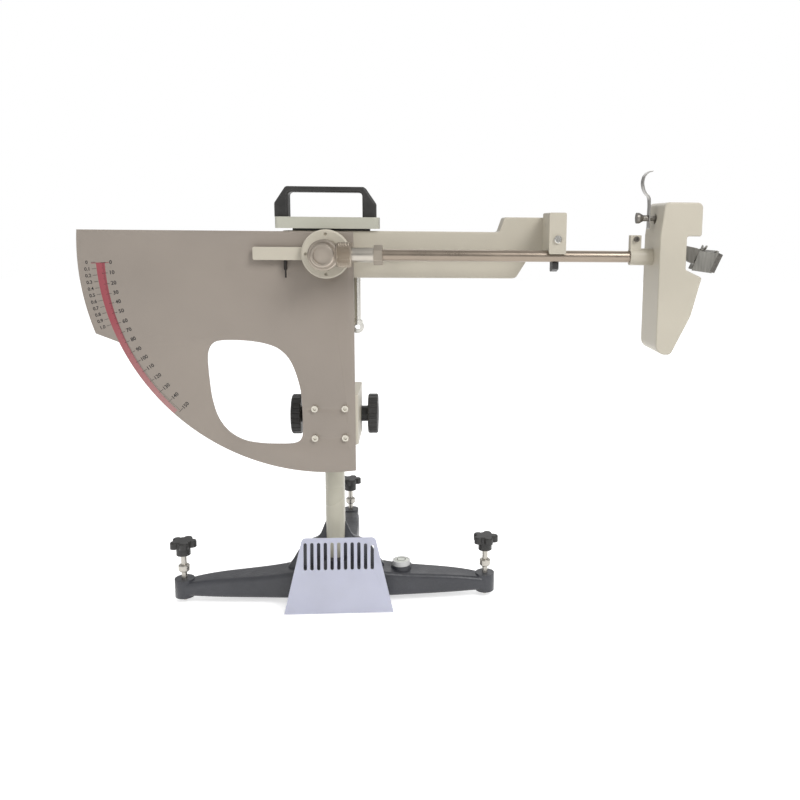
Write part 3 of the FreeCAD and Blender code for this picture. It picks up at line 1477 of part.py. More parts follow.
edge_x = size.swing_radius
edge_z = rod_height + size.slider_edge_above
slope_sine = sine(size.slider_angle)
slope_cosine = cosine(size.slider_angle)


def on_slider(along, deep):
    """Point in the XZ plane: along the rubber from its trailing edge, and behind its face."""
    return (edge_x - slope_sine * along - slope_cosine * deep,
            edge_z - slope_cosine * along + slope_sine * deep)


lug_deep = size.rubber_thickness + size.slider_plate_thickness
lug_end = lug_deep + size.slider_lug_depth
slider_middle = size.rubber_width / 2
pin_deep = lug_deep + size.slider_lug_depth / 2


def make_lever():
    body = new_piece("slider_lever")
    half = size.lever_thickness / 2
    low = size.rod_front - half
    high = size.rod_front + half
    pivot_z = rod_height + size.lever_pivot_below
    left = size.lever_left
    right = size.lever_left + size.lever_bar
    top = rod_height + size.lever_top
    inner = size.slider_lug_width / 2 + size.face_gap
    outer = inner + size.fork_arm
    gap_end = lug_end + size.face_gap * 2
    fork_end = gap_end + size.fork_back
    fork_front = pin_deep - size.slider_pin_diameter / 2 - 1
    middle = slider_middle
    pad(body, "XZ", low, high, (outline, ([
        (size.lever_pivot_place - 5, pivot_z), (size.lever_pivot_place + 5, pivot_z),
        (right, rod_height - 8), (right, rod_height + 3),
        on_slider(middle + outer, fork_end), on_slider(middle + outer, fork_front),
        on_slider(middle + inner, fork_front), on_slider(middle + inner, gap_end),
        on_slider(middle - inner, gap_end), on_slider(middle - inner, fork_front),
        on_slider(middle - outer, fork_front), on_slider(middle - outer, fork_end),
        (right, rod_height + 18), (right, top, 3), (left, top, 3), (left, rod_height - 20)],)))
    pad(body, "XZ", low, high, (circle, (size.lever_pivot_place, pivot_z, size.lever_boss_diameter)))
    pocket(body, "XZ", low - 1, high + 1, (
        circle, (size.lever_pivot_place, pivot_z, size.lever_pin_diameter + size.fit_gap * 2)))
    stem_z = rod_height + size.hook_height
    pocket(body, "YZ", left - 1, right - 1, (
        circle, (size.rod_front, stem_z, size.stem_diameter + size.fit_gap * 2)))
    drill_fork(body, middle + outer + 1)


def drill_fork(body, reach):
    """Bore along the slider's width through both arms of the fork."""
    sketch = new_sketch(body, "XZ", size.rod_front)
    hole = size.slider_pin_diameter / 2 + size.fit_gap
    near = on_slider(slider_middle * 2 - reach, pin_deep)
    far = on_slider(reach, pin_deep)
    side_near = on_slider(slider_middle * 2 - reach, pin_deep + hole)
    side_far = on_slider(reach, pin_deep + hole)
    outline(sketch, [near, far, side_far, side_near])
    axis = body.newObject("Sketcher::SketchObject", "PinAxis")
    axis.AttachmentSupport = [(origin_of(body, "XZ_Plane"), "")]
    axis.MapMode = "FlatFace"
    bind(axis, "AttachmentOffset.Base.z", -size.rod_front)
    line = axis.addGeometry(Part.LineSegment(point_on(near), point_on(far)), False)
    hold(axis, line, 1, *near)
    hold(axis, line, 2, *far)
    groove = body.newObject("PartDesign::Groove", "PinBore")
    groove.Profile = sketch
    groove.ReferenceAxis = (axis, ["Edge1"])
    groove.Angle = 360
    doc.recompute()


def make_hook():
    body = new_piece("lifting_hook")
    half = size.hook_width / 2
    right = size.head_left - size.hook_gap
    left = right - size.hook_thickness
    low = rod_height + size.hook_height - size.hook_below
    centre = (right + size.hook_shift, rod_height + size.hook_curl_rise)
    outer = size.hook_curl + size.hook_thickness
    inner = size.hook_curl
    end_shift = 2
    corners = [
        (right, low), (right, centre[1] - across_circle(inner, size.hook_shift)),
        (centre[0] + end_shift, centre[1] + across_circle(inner, as_size(end_shift))),
        (centre[0] + end_shift, centre[1] + across_circle(outer, as_size(end_shift))),
        (left, centre[1] - across_circle(outer, size.hook_shift + size.hook_thickness)),
        (left, low)]
    pad(body, "XZ", size.rod_front - half, size.rod_front + half, (
        outline, (corners, {1: centre, 3: centre})))
    stem_z = rod_height + size.hook_height
    pocket(body, "YZ", left - 2, right + 2, (
        circle, (size.rod_front, stem_z, size.stem_diameter + size.fit_gap * 2)))

    head = size.thumb_head_diameter / 2
    neck = size.thumb_neck_diameter / 2
    stem = size.stem_diameter / 2
    shoulder = size.stem_shoulder_diameter / 2
    flare = size.thumb_head_length
    seat = flare + size.thumb_neck_length
    strap = seat + size.hook_thickness
    bar = size.lever_left - left + seat
    end = bar + size.lever_bar - 2
    turned("thumb_screw", [(0, 0), (head, 0), (head, flare * 0.4), (neck, flare), (neck, seat),
                           (stem, seat), (stem, strap), (shoulder, strap), (shoulder, bar),
                           (stem, bar), (stem, end), (0, end)],
           (left - seat, size.rod_front, stem_z), to_right)

    spring_z = rod_height + size.head_spring_height
    spring = size.head_spring_diameter / 2
    length = size.lever_left - size.head_left - size.head_wall - size.head_spring_slack
    turned("head_spring", ring_profile(spring - size.head_spring_wire, spring, as_size(0), length),
           (size.head_left + size.head_wall, size.rod_front, spring_z), to_right)


def across_circle(radius, drop):
    return root(radius * radius - drop * drop)


def make_slider():
    low = size.rod_front - size.slider_length / 2
    high = size.rod_front + size.slider_length / 2
    rubber = new_piece("slider_rubber")
    pad(rubber, "XZ", low, high, (outline, ([
        on_slider(0, 0), on_slider(size.rubber_width, 0),
        on_slider(size.rubber_width, size.rubber_thickness), on_slider(0, size.rubber_thickness)],)))
    plate = new_piece("slider_plate")
    spare = (size.slider_plate_width - size.rubber_width) / 2
    pad(plate, "XZ", low, high, (outline, ([
        on_slider(-spare, size.rubber_thickness),
        on_slider(size.rubber_width + spare, size.rubber_thickness),
        on_slider(size.rubber_width + spare, lug_deep), on_slider(-spare, lug_deep)],)))
    half = size.slider_lug_length / 2
    wide = size.slider_lug_width / 2
    pad(plate, "XZ", size.rod_front - half, size.rod_front + half, (outline, ([
        on_slider(slider_middle - wide, lug_deep - 1), on_slider(slider_middle + wide, lug_deep - 1),
        on_slider(slider_middle + wide, lug_end), on_slider(slider_middle - wide, lug_end)],)))
    drill_fork(plate, slider_middle + wide + 1)

    # pin with a wing to grip, through both fork arms
    reach = size.slider_lug_width / 2 + size.face_gap + size.fork_arm
    top = on_slider(slider_middle - reach - 0.3, pin_deep)
    pin = size.slider_pin_diameter / 2
    length = reach * 2 + 0.3
    tilt = Rotation(Vector(0, 1, 0), 180 + value_of(size.slider_angle))
    clip = new_piece("slider_clip", (top[0], size.rod_front, top[1]), tilt)
    revolve(clip, [(0, -1.5), (pin + 2, -1.5), (pin + 2, 0), (pin, 0), (pin, length), (0, length)])
    wing = size.wing_span / 2
    thick = size.wing_thickness / 2
    pad(clip, "YZ", -thick, thick, (outline, ([
        (-wing, -1 - size.wing_height, 1), (-3, -4, 1), (3, -4, 1), (wing, -1 - size.wing_height, 1),
        (wing, -4, 1), (4, -1), (-4, -1), (-wing, -4, 1)],)))


# Plastic scraper leaning on the hub

def make_scraper():
    lean = Rotation(Vector(1, 0, 0), -value_of(size.scraper_lean))
    slope = Size(math.tan(math.radians(value_of(size.scraper_lean))),
                 "tan(" + formula_of(size.scraper_lean) + ")")
    back_at_ground = -hub_radius - size.face_gap - slope * (size.hub_top - size.hub_flare)
    lift = size.scraper_thickness * sine(size.scraper_lean) + size.face_gap
    body = new_piece("water_scraper", (size.scraper_middle, back_at_ground, lift), lean)
    bottom = size.scraper_bottom_width / 2
    top = size.scraper_top_width / 2
    pad(body, "XZ", -size.scraper_thickness, as_size(0), (outline, ([
        (-bottom, 0), (bottom, 0), (top, size.scraper_height, size.scraper_corner),
        (-top, size.scraper_height, size.scraper_corner)],)))
    first = -size.scraper_slot_pitch * (size.scraper_slots - 1) / 2
    half = size.scraper_slot_width / 2
    slot = pocket(body, "XZ", -size.scraper_thickness - 1, as_size(1), (outline, (
        box_outline(first - half, first + half, size.scraper_slot_bottom,
                    size.scraper_slot_top),)))
    pattern = body.newObject("PartDesign::LinearPattern", "Slots")
    pattern.Originals = [slot]
    pattern.Direction = (origin_of(body, "X_Axis"), [""])
    bind(pattern, "Length", size.scraper_slot_pitch * (size.scraper_slots - 1))
    bind(pattern, "Occurrences", size.scraper_slots)
    body.Tip = pattern
    doc.recompute()


make_base()
make_level()
for side, (foot_x, foot_y) in foot_places.items():
    make_foot(side, foot_x, foot_y)
make_column()
make_rack()
make_carriage()
make_pinion()
lift_knob("lift_knob_left", -1)
lift_knob("lift_knob_right", 1)
make_clamp()
make_head_arm()
make_beam()
make_dial()
make_dial_screws()
make_handle()
make_catch()
make_housing()
make_friction()
make_pointer()
make_hanger()
make_knuckle()
make_rod()
make_head()
make_head_clamp()
make_lever()
make_hook()
make_slider()
make_scraper()

doc.recompute()
faults = [item.Label for item in doc.Objects if "Invalid" in item.State or "Error" in item.State]
for piece in pieces:
    if piece.Shape.isNull() or not piece.Shape.isValid() or not piece.Shape.Solids:
        faults.append(piece.Label + " shape")
if faults:
    raise ValueError("failed: " + ", ".join(faults))
os.makedirs("parts", exist_ok=True)
for piece in pieces:
    piece.Shape.exportStep("parts/" + piece.Label + ".step")
print(len(pieces), "pieces written")
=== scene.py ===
import json
import math

import bpy
from mathutils import Matrix, Quaternion, Vector


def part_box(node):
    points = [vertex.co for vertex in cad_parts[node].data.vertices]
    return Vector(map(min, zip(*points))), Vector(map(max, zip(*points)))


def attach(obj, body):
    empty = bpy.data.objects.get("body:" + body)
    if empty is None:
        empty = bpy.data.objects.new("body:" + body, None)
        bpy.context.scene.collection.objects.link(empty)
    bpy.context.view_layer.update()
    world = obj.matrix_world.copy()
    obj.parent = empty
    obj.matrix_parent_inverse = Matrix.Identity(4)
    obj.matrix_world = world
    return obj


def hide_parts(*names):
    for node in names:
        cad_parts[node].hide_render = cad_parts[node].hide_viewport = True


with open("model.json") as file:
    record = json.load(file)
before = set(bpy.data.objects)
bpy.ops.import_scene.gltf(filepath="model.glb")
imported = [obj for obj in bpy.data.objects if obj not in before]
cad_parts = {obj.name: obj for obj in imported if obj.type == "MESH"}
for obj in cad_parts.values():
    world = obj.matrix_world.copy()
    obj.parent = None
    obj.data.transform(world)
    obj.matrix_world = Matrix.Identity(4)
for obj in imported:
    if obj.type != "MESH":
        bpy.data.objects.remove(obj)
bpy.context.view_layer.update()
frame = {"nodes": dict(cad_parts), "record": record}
nodes = frame["nodes"]
print("frame loaded:", len(nodes), "parts")


# small helpers for working on one object at a time

weldDistance = 0.00001


def deselect():
    bpy.ops.object.select_all(action="DESELECT")


def workOn(obj):
    deselect()
    obj.select_set(True)
    bpy.context.view_layer.objects.active = obj


def newest(name):
    obj = bpy.context.active_object               # what the last operator made
    obj.name = name
    return obj


def editMesh(selection="SELECT"):
    bpy.ops.object.mode_set(mode="EDIT")
    bpy.ops.mesh.select_all(action=selection)


def endEdit():
    bpy.ops.object.mode_set(mode="OBJECT")


def applyAll(obj):
    workOn(obj)
    for modifier in list(obj.modifiers):
        bpy.ops.object.modifier_apply(modifier=modifier.name)


def settle(obj):
    workOn(obj)                                   # the place goes into the mesh
    bpy.ops.object.transform_apply(location=True, rotation=True, scale=True)


def turned(degrees, axis):
    return Matrix.Rotation(math.radians(degrees), 4, axis)


def moveMesh(obj, *moves):
    for move in moves:
        obj.data.transform(move)


def joinAll(name, objs):
    deselect()
    for obj in objs:
        obj.select_set(True)
    bpy.context.view_layer.objects.active = objs[0]
    bpy.ops.object.join()
    return newest(name)


def curveToMesh(name, shape):
    obj = bpy.data.objects.new(name, shape)
    bpy.context.scene.collection.objects.link(obj)
    workOn(obj)
    bpy.ops.object.convert(target="MESH")
    return bpy.context.active_object


def smoothByAngle(obj, degrees):
    workOn(obj)
    bpy.ops.object.shade_smooth_by_angle(angle=math.radians(degrees))


def facesOut(obj):
    workOn(obj)
    editMesh()
    bpy.ops.mesh.remove_doubles(threshold=weldDistance)
    bpy.ops.mesh.normals_make_consistent(inside=False)
    endEdit()


def finishPiece(obj, body, material):
    obj.data.materials.clear()
    obj.data.materials.append(material)
    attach(obj, body)


# building blocks of the materials

noiseReach = (0.3, 0.7)                           # most of a noise's values lie between these


def newMaterial(name, color, roughness, metallic=0.0):
    material = bpy.data.materials.new(name)
    material.use_nodes = True
    tree = material.node_tree
    shader = tree.nodes["Principled BSDF"]
    shader.inputs["Base Color"].default_value = (*color, 1)
    shader.inputs["Roughness"].default_value = roughness
    shader.inputs["Metallic"].default_value = metallic
    return material, tree, shader


def objectSpace(tree, scale=(1, 1, 1), rotation=(0, 0, 0)):
    source = tree.nodes.new("ShaderNodeTexCoord")
    mapping = tree.nodes.new("ShaderNodeMapping")
    mapping.inputs["Scale"].default_value = scale
    mapping.inputs["Rotation"].default_value = rotation
    tree.links.new(source.outputs["Object"], mapping.inputs["Vector"])
    return mapping.outputs["Vector"]


def noiseFrom(tree, vector, scale, detail=3.0, roughness=0.55, distortion=0.0):
    noise = tree.nodes.new("ShaderNodeTexNoise")
    noise.inputs["Scale"].default_value = scale
    noise.inputs["Detail"].default_value = detail
    noise.inputs["Roughness"].default_value = roughness
    noise.inputs["Distortion"].default_value = distortion
    tree.links.new(vector, noise.inputs["Vector"])
    return noise.outputs["Fac"]


def spread(tree, value, low, high, fromLow=noiseReach[0], fromHigh=noiseReach[1]):
    ranger = tree.nodes.new("ShaderNodeMapRange")
    ranger.inputs["From Min"].default_value = fromLow
    ranger.inputs["From Max"].default_value = fromHigh
    ranger.inputs["To Min"].default_value = low
    ranger.inputs["To Max"].default_value = high
    tree.links.new(value, ranger.inputs["Value"])
    return ranger.outputs["Result"]


def combine(tree, operation, *values):
    node = tree.nodes.new("ShaderNodeMath")
    node.operation = operation
    for socket, value in zip(node.inputs, values):
        if isinstance(value, float):
            socket.default_value = value
        else:
            tree.links.new(value, socket)
    return node.outputs[0]


def colorBy(tree, shader, value, dark, light):
    ramp = tree.nodes.new("ShaderNodeValToRGB")
    for stop, position, color in zip(ramp.color_ramp.elements, noiseReach, (dark, light)):
        stop.position = position
        stop.color = (*color, 1)
    tree.links.new(value, ramp.inputs["Fac"])
    tree.links.new(ramp.outputs["Color"], shader.inputs["Base Color"])


def roughnessBy(tree, shader, value, low, high):
    tree.links.new(spread(tree, value, low, high), shader.inputs["Roughness"])


def bumpFrom(tree, shader, value, strength, distance, before=None):
    bump = tree.nodes.new("ShaderNodeBump")
    bump.inputs["Strength"].default_value = strength
    bump.inputs["Distance"].default_value = distance
    tree.links.new(value, bump.inputs["Height"])
    if before is not None:
        tree.links.new(before, bump.inputs["Normal"])
    tree.links.new(bump.outputs["Normal"], shader.inputs["Normal"])
    return bump.outputs["Normal"]


def tint(color, factor):
    return tuple(min(1.0, part * factor) for part in color)


def linear(part):
    return part / 12.92 if part <= 0.04045 else ((part + 0.055) / 1.055) ** 2.4


def hex3(code):
    # a colour as a screen shows it, turned to the linear values that Blender keeps
    return tuple(linear(int(code[n:n + 2], 16) / 255) for n in (0, 2, 4))


# one function for each kind of surface

def paintedFinish(name, color, roughness, grain, depth, mottle=0.06, coat=0.0):
    # sprayed enamel: slow shade drift, orange peel, and gloss that varies a little
    material, tree, shader = newMaterial(name, color, roughness)
    space = objectSpace(tree)
    drift = noiseFrom(tree, space, scale=9.0, detail=2.0)
    speck = noiseFrom(tree, space, scale=grain * 3.1, detail=2.0)
    slowDrift = spread(tree, drift, low=0.15, high=0.5)
    both = combine(tree, "MULTIPLY_ADD", speck, 0.35, slowDrift)
    colorBy(tree, shader, both, tint(color, 1 - mottle), tint(color, 1 + mottle))
    roughnessBy(tree, shader, drift, roughness - 0.05, roughness + 0.06)
    peel = noiseFrom(tree, space, scale=grain, detail=2.0, roughness=0.5)
    bumpFrom(tree, shader, peel, strength=0.35, distance=depth)
    shader.inputs["Coat Weight"].default_value = coat
    shader.inputs["Coat Roughness"].default_value = 0.25
    return material


def hammeredFinish(name, color):
    # hammer paint on the casting: small dimples over a slightly uneven skin
    material, tree, shader = newMaterial(name, color, roughness=0.42)
    space = objectSpace(tree)
    dimples = tree.nodes.new("ShaderNodeTexVoronoi")
    dimples.feature = "SMOOTH_F1"
    dimples.inputs["Scale"].default_value = 330.0
    dimples.inputs["Smoothness"].default_value = 0.6
    tree.links.new(space, dimples.inputs["Vector"])
    skin = noiseFrom(tree, space, scale=60.0)
    drift = noiseFrom(tree, space, scale=14.0)
    colorBy(tree, shader, drift, tint(color, 0.8), tint(color, 1.25))
    roughnessBy(tree, shader, skin, low=0.36, high=0.52)
    uneven = bumpFrom(tree, shader, skin, strength=0.4, distance=0.0012)
    bumpFrom(tree, shader, dimples.outputs["Distance"], strength=0.55, distance=0.0006, before=uneven)
    shader.inputs["Coat Weight"].default_value = 0.25
    shader.inputs["Coat Roughness"].default_value = 0.3
    return material


def metalFinish(name, color, roughness, stretch, depth=0.00004, stain=0.12):
    # drawn or turned metal: fine marks stretched along or around the piece, faint stains
    material, tree, shader = newMaterial(name, color, roughness, metallic=1.0)
    marks = noiseFrom(tree, objectSpace(tree, scale=stretch), scale=900.0, detail=4.0, roughness=0.6)
    clouds = noiseFrom(tree, objectSpace(tree), scale=28.0, detail=4.0, roughness=0.6, distortion=0.4)
    colorBy(tree, shader, clouds, tint(color, 1 - stain), tint(color, 1 + stain / 2))
    cloudGloss = spread(tree, clouds, roughness - 0.08, roughness + 0.06)
    gloss = combine(tree, "MULTIPLY_ADD", marks, 0.16, cloudGloss)
    tree.links.new(gloss, shader.inputs["Roughness"])
    if depth:
        bumpFrom(tree, shader, marks, strength=0.4, distance=depth)
    return material


def mouldedFinish(name, color, roughness, grain=1400.0, depth=0.00012):
    # moulded plastic: fine spark texture, paler dust, and gloss that varies with it
    material, tree, shader = newMaterial(name, color, roughness)
    space = objectSpace(tree)
    fine = noiseFrom(tree, space, scale=grain, detail=2.0)
    dust = noiseFrom(tree, space, scale=45.0, detail=4.0)
    colorBy(tree, shader, dust, color, tint(color, 1.7))
    roughnessBy(tree, shader, dust, roughness - 0.06, roughness + 0.1)
    bumpFrom(tree, shader, fine, strength=0.5, distance=depth)
    return material


def streakedFinish(name, color, roughness):
    # cast grey metal rubbed along its height: pale and dark streaks
    material, tree, shader = newMaterial(name, color, roughness, metallic=0.35)
    upright = objectSpace(tree, scale=(1, 1, 0.1))
    streaks = noiseFrom(tree, upright, scale=240.0, detail=4.0, roughness=0.6)
    colorBy(tree, shader, streaks, tint(color, 0.72), tint(color, 1.25))
    roughnessBy(tree, shader, streaks, roughness - 0.06, roughness + 0.1)
    bumpFrom(tree, shader, streaks, strength=0.3, distance=0.00008)
    return material


def feltFinish(name, color):
    # matted fibres with a soft sheen
    material, tree, shader = newMaterial(name, color, roughness=0.95)
    fibres = noiseFrom(tree, objectSpace(tree), scale=1800.0, detail=5.0, roughness=0.7, distortion=1.5)
    colorBy(tree, shader, fibres, tint(color, 0.6), tint(color, 1.35))
    bumpFrom(tree, shader, fibres, strength=0.9, distance=0.0003)
    shader.inputs["Sheen Weight"].default_value = 0.4
    return material


def rubberFinish(name, color):
    # the slider's rubber: sanded grain and paler scuffs drawn out across it
    material, tree, shader = newMaterial(name, color, roughness=0.75)
    grain = noiseFrom(tree, objectSpace(tree), scale=1300.0, detail=4.0, roughness=0.65)
    scuffs = noiseFrom(tree, objectSpace(tree, scale=(1, 0.12, 1)), scale=260.0)
    colorBy(tree, shader, scuffs, tint(color, 0.75), tint(color, 1.6))
    bumpFrom(tree, shader, grain, strength=0.6, distance=0.0002)
    return material


def plasticSheetFinish(name, color):
    # frosted sheet of the scraper: milky, with faint scratches up and down
    material, tree, shader = newMaterial(name, color, roughness=0.38)
    clouds = noiseFrom(tree, objectSpace(tree), scale=16.0)
    upright = objectSpace(tree, scale=(1, 1, 0.06), rotation=(0, 0.3, 0))
    scratches = noiseFrom(tree, upright, scale=700.0)
    colorBy(tree, shader, clouds, tint(color, 0.96), tint(color, 1.04))
    roughnessBy(tree, shader, scratches, low=0.32, high=0.5)
    bumpFrom(tree, shader, scratches, strength=0.15, distance=0.00008)
    shader.inputs["Subsurface Weight"].default_value = 0.25
    shader.inputs["Subsurface Radius"].default_value = (0.004, 0.004, 0.005)
    shader.inputs["Subsurface Scale"].default_value = 1.0
    return material


def inkFinish(name, color):
    # screen-printed ink, a little uneven
    material, tree, shader = newMaterial(name, color, roughness=0.5)
    wear = noiseFrom(tree, objectSpace(tree), scale=380.0, detail=4.0)
    colorBy(tree, shader, wear, color, tint(color, 1.35))
    return material


def fadingInk(name, low, high, heights):
    # red ink that gets paler towards the lower end
    material, tree, shader = newMaterial(name, high, roughness=0.5)
    split = tree.nodes.new("ShaderNodeSeparateXYZ")
    tree.links.new(objectSpace(tree), split.inputs["Vector"])
    height = spread(tree, split.outputs["Z"], *noiseReach, *heights)
    colorBy(tree, shader, height, low, high)
    return material


def clearFinish(name, color, roughness=0.05):
    # glass with a faint smear
    material, tree, shader = newMaterial(name, color, roughness)
    smear = noiseFrom(tree, objectSpace(tree), scale=220.0)
    roughnessBy(tree, shader, smear, roughness, roughness + 0.08)
    shader.inputs["Transmission Weight"].default_value = 1.0
    shader.inputs["IOR"].default_value = 1.45
    return material


# what each slot of the record looks like; stretch is small along the marks
finishes = {
    "base_casting": hammeredFinish("castingPaint", hex3("35363b")),
    "beige_paint": paintedFinish("beigeEnamel", hex3("c6bfaf"), roughness=0.42, grain=420.0,
                                 depth=0.0002, mottle=0.05, coat=0.12),
    "dial_paint": paintedFinish("scaleEnamel", hex3("9a9086"), roughness=0.42, grain=700.0,
                                depth=0.00008, mottle=0.05, coat=0.1),
    "black_plastic": mouldedFinish("blackMoulding", hex3("272625"), roughness=0.42),
    "steel": metalFinish("turnedSteel", hex3("bab6ae"), roughness=0.3, stretch=(1, 1, 0.1)),
    "plated": metalFinish("brightPlate", hex3("d3d1cb"), roughness=0.16, stretch=(0.15, 1, 1),
                          depth=0.00002, stain=0.08),
    "dark_steel": metalFinish("blackenedSteel", hex3("3a3836"), roughness=0.38, stretch=(0.2, 1, 1)),
    "felt": feltFinish("pressedFelt", hex3("5a564e")),
    "glass": clearFinish("levelGlass", hex3("f2f5e8")),
    "rubber": rubberFinish("sliderRubber", hex3("57544f")),
    "clear_plastic": plasticSheetFinish("scraperPlastic", hex3("c6c8d8")),
    "brass": metalFinish("clampBrass", hex3("b99758"), roughness=0.3, stretch=(1, 0.2, 1)),
    "rod_metal": metalFinish("drawnTube", hex3("978b7e"), roughness=0.26, stretch=(0.01, 1, 1),
                             depth=0.0, stain=0.08),
    "alloy_plate": metalFinish("brushedAlloy", hex3("c3c1ba"), roughness=0.34, stretch=(0.06, 1, 1)),
}
blackInk = inkFinish("scaleInk", hex3("1f1c1c"))
redInk = fadingInk("bandInk", low=hex3("b08482"), high=hex3("9c4a52"), heights=(0.30, 0.42))
bubbleAir = clearFinish("bubbleAir", hex3("fbfdf2"), roughness=0.02)

# single parts whose finish differs from their slot's
partFinish = {
    "column": paintedFinish("columnSatin", hex3("bdb9a8"), roughness=0.3, grain=300.0,
                            depth=0.00004, mottle=0.015, coat=0.3),
    "handle_plate": paintedFinish("handlePlateSatin", hex3("bdbcae"), roughness=0.38, grain=500.0,
                                  depth=0.00008, mottle=0.04, coat=0.2),
    "knuckle": metalFinish("knuckleMetal", hex3("aaa094"), roughness=0.3, stretch=(1, 0.15, 1)),
    "knuckle_cap": metalFinish("capMetal", hex3("b0a69a"), roughness=0.26, stretch=(1, 0.15, 1)),
    "head_clamp": finishes["beige_paint"],
    "dial_screws": metalFinish("plateScrews", hex3("cfcabe"), roughness=0.35, stretch=(1, 0.3, 1)),
    "level_housing": paintedFinish("levelRim", hex3("d6d6d4"), roughness=0.3, grain=300.0,
                                   depth=0.00004, mottle=0.03, coat=0.2),
    "level_glass": mouldedFinish("levelFace", hex3("b9bbb4"), roughness=0.12, grain=600.0,
                                 depth=0.00001),
    "rod_sleeve": metalFinish("sleeveMetal", hex3("b8b2a8"), roughness=0.28, stretch=(0.15, 1, 1),
                              depth=0.00001, stain=0.1),
    "rod_lock_nut": metalFinish("nutMetal", hex3("a39a8e"), roughness=0.36, stretch=(1, 0.3, 1),
                                depth=0.00002),
    "thumb_screw": metalFinish("thumbGrey", hex3("87837d"), roughness=0.34, stretch=(0.2, 1, 1),
                               depth=0.00002),
    "pendulum_screws": metalFinish("clampScrews", hex3("6a6660"), roughness=0.36,
                                   stretch=(1, 0.3, 1), depth=0.00002),
    "rod_collar": metalFinish("collarMetal", hex3("a79d90"), roughness=0.38, stretch=(1, 1, 0.2),
                              depth=0.00002),
    "slider_lever": streakedFinish("leverGrey", hex3("8d8a84"), roughness=0.4),
    "slider_plate": streakedFinish("backingGrey", hex3("7e7c76"), roughness=0.45),
    "slider_clip": streakedFinish("clipGrey", hex3("a3a19b"), roughness=0.36),
    "lifting_hook": metalFinish("hookGrey", hex3("aeaca8"), roughness=0.3, stretch=(1, 1, 0.1)),
}

slotOf = {entry["node"]: entry["material_slot"] for entry in frame["record"]["subparts"]}
for name, node in nodes.items():
    for materialSlot in node.material_slots:
        materialSlot.material = partFinish.get(name, finishes[slotOf[name]])
print("parts finished:", len(nodes))


# printing on the scale plate; a tick is given by its inner radius, outer radius and width

scalePrint = {
    "pivot": (0.0, 0.508),
    "face": -0.058,                # front of the plate
    "inkDepth": 0.00012,
    "tickLift": 1.6,               # in ink depths, so that ticks lie over the band
    "bandOuter": 0.2995,
    "bandInner": (0.2885, 0.2932),
    "bandMiddle": 0.2955,          # points nearer the pivot than this are on the inner edge
    "bandAngles": (2.7, 46.0),
    "bandSteps": 90,
    "zeroLine": (0.2835, 0.306, 0.0007),
    "innerNumbers": (2.7, 5.4, 8.2, 10.8, 13.3, 15.9, 18.7, 21.3, 24.0, 27.0, 29.8, 32.7, 35.9,
                     39.5, 42.9, 46.7),
    "innerRadius": 0.281,
    "innerHeight": 0.0052,
    "innerTick": (0.2865, 0.2935, 0.0005),
    "fineTick": (0.290, 0.2918, 0.0003),
    "middleTick": (0.290, 0.293, 0.0003),
    "outerNumbers": 11,
    "outerAngles": (2.5, 18.5),
    "outerRadius": 0.3115,
    "outerHeight": 0.0046,
    "outerTick": (0.3, 0.3055, 0.0004),
    "fontSize": 1.35,              # in heights of a number
    "fontWeight": 0.02,
}


def onDial(radius, degrees, lift=0.0):
    angle = math.radians(degrees)
    x = scalePrint["pivot"][0] - radius * math.cos(angle)
    z = scalePrint["pivot"][1] - radius * math.sin(angle)
    return Vector((x, scalePrint["face"] - lift, z))


def makeTick(tickSize, degrees, name="mark"):
    inner, outer, width = tickSize
    deselect()
    bpy.ops.mesh.primitive_cube_add(size=1)
    tick = newest(name)
    lift = scalePrint["inkDepth"] * scalePrint["tickLift"]
    moveMesh(tick, Matrix.Diagonal((outer - inner, scalePrint["inkDepth"], width, 1)),
             turned(-degrees, "Y"), Matrix.Translation(onDial((inner + outer) / 2, degrees, lift)))
    return tick


def makeNumber(text, height, radius, degrees):
    deselect()
    bpy.ops.object.text_add()
    label = bpy.context.active_object
    label.data.body = text
    label.data.size = height * scalePrint["fontSize"]
    label.data.align_x = "CENTER"
    label.data.align_y = "CENTER"
    label.data.extrude = scalePrint["inkDepth"] / 2
    label.data.offset = height * scalePrint["fontWeight"]
    label.data.resolution_u = 3
    bpy.ops.object.convert(target="MESH")
    label = newest("mark")
    moveMesh(label, turned(90, "X"), turned(-degrees, "Y"),
             Matrix.Translation(onDial(radius, degrees, scalePrint["inkDepth"])))
    return label


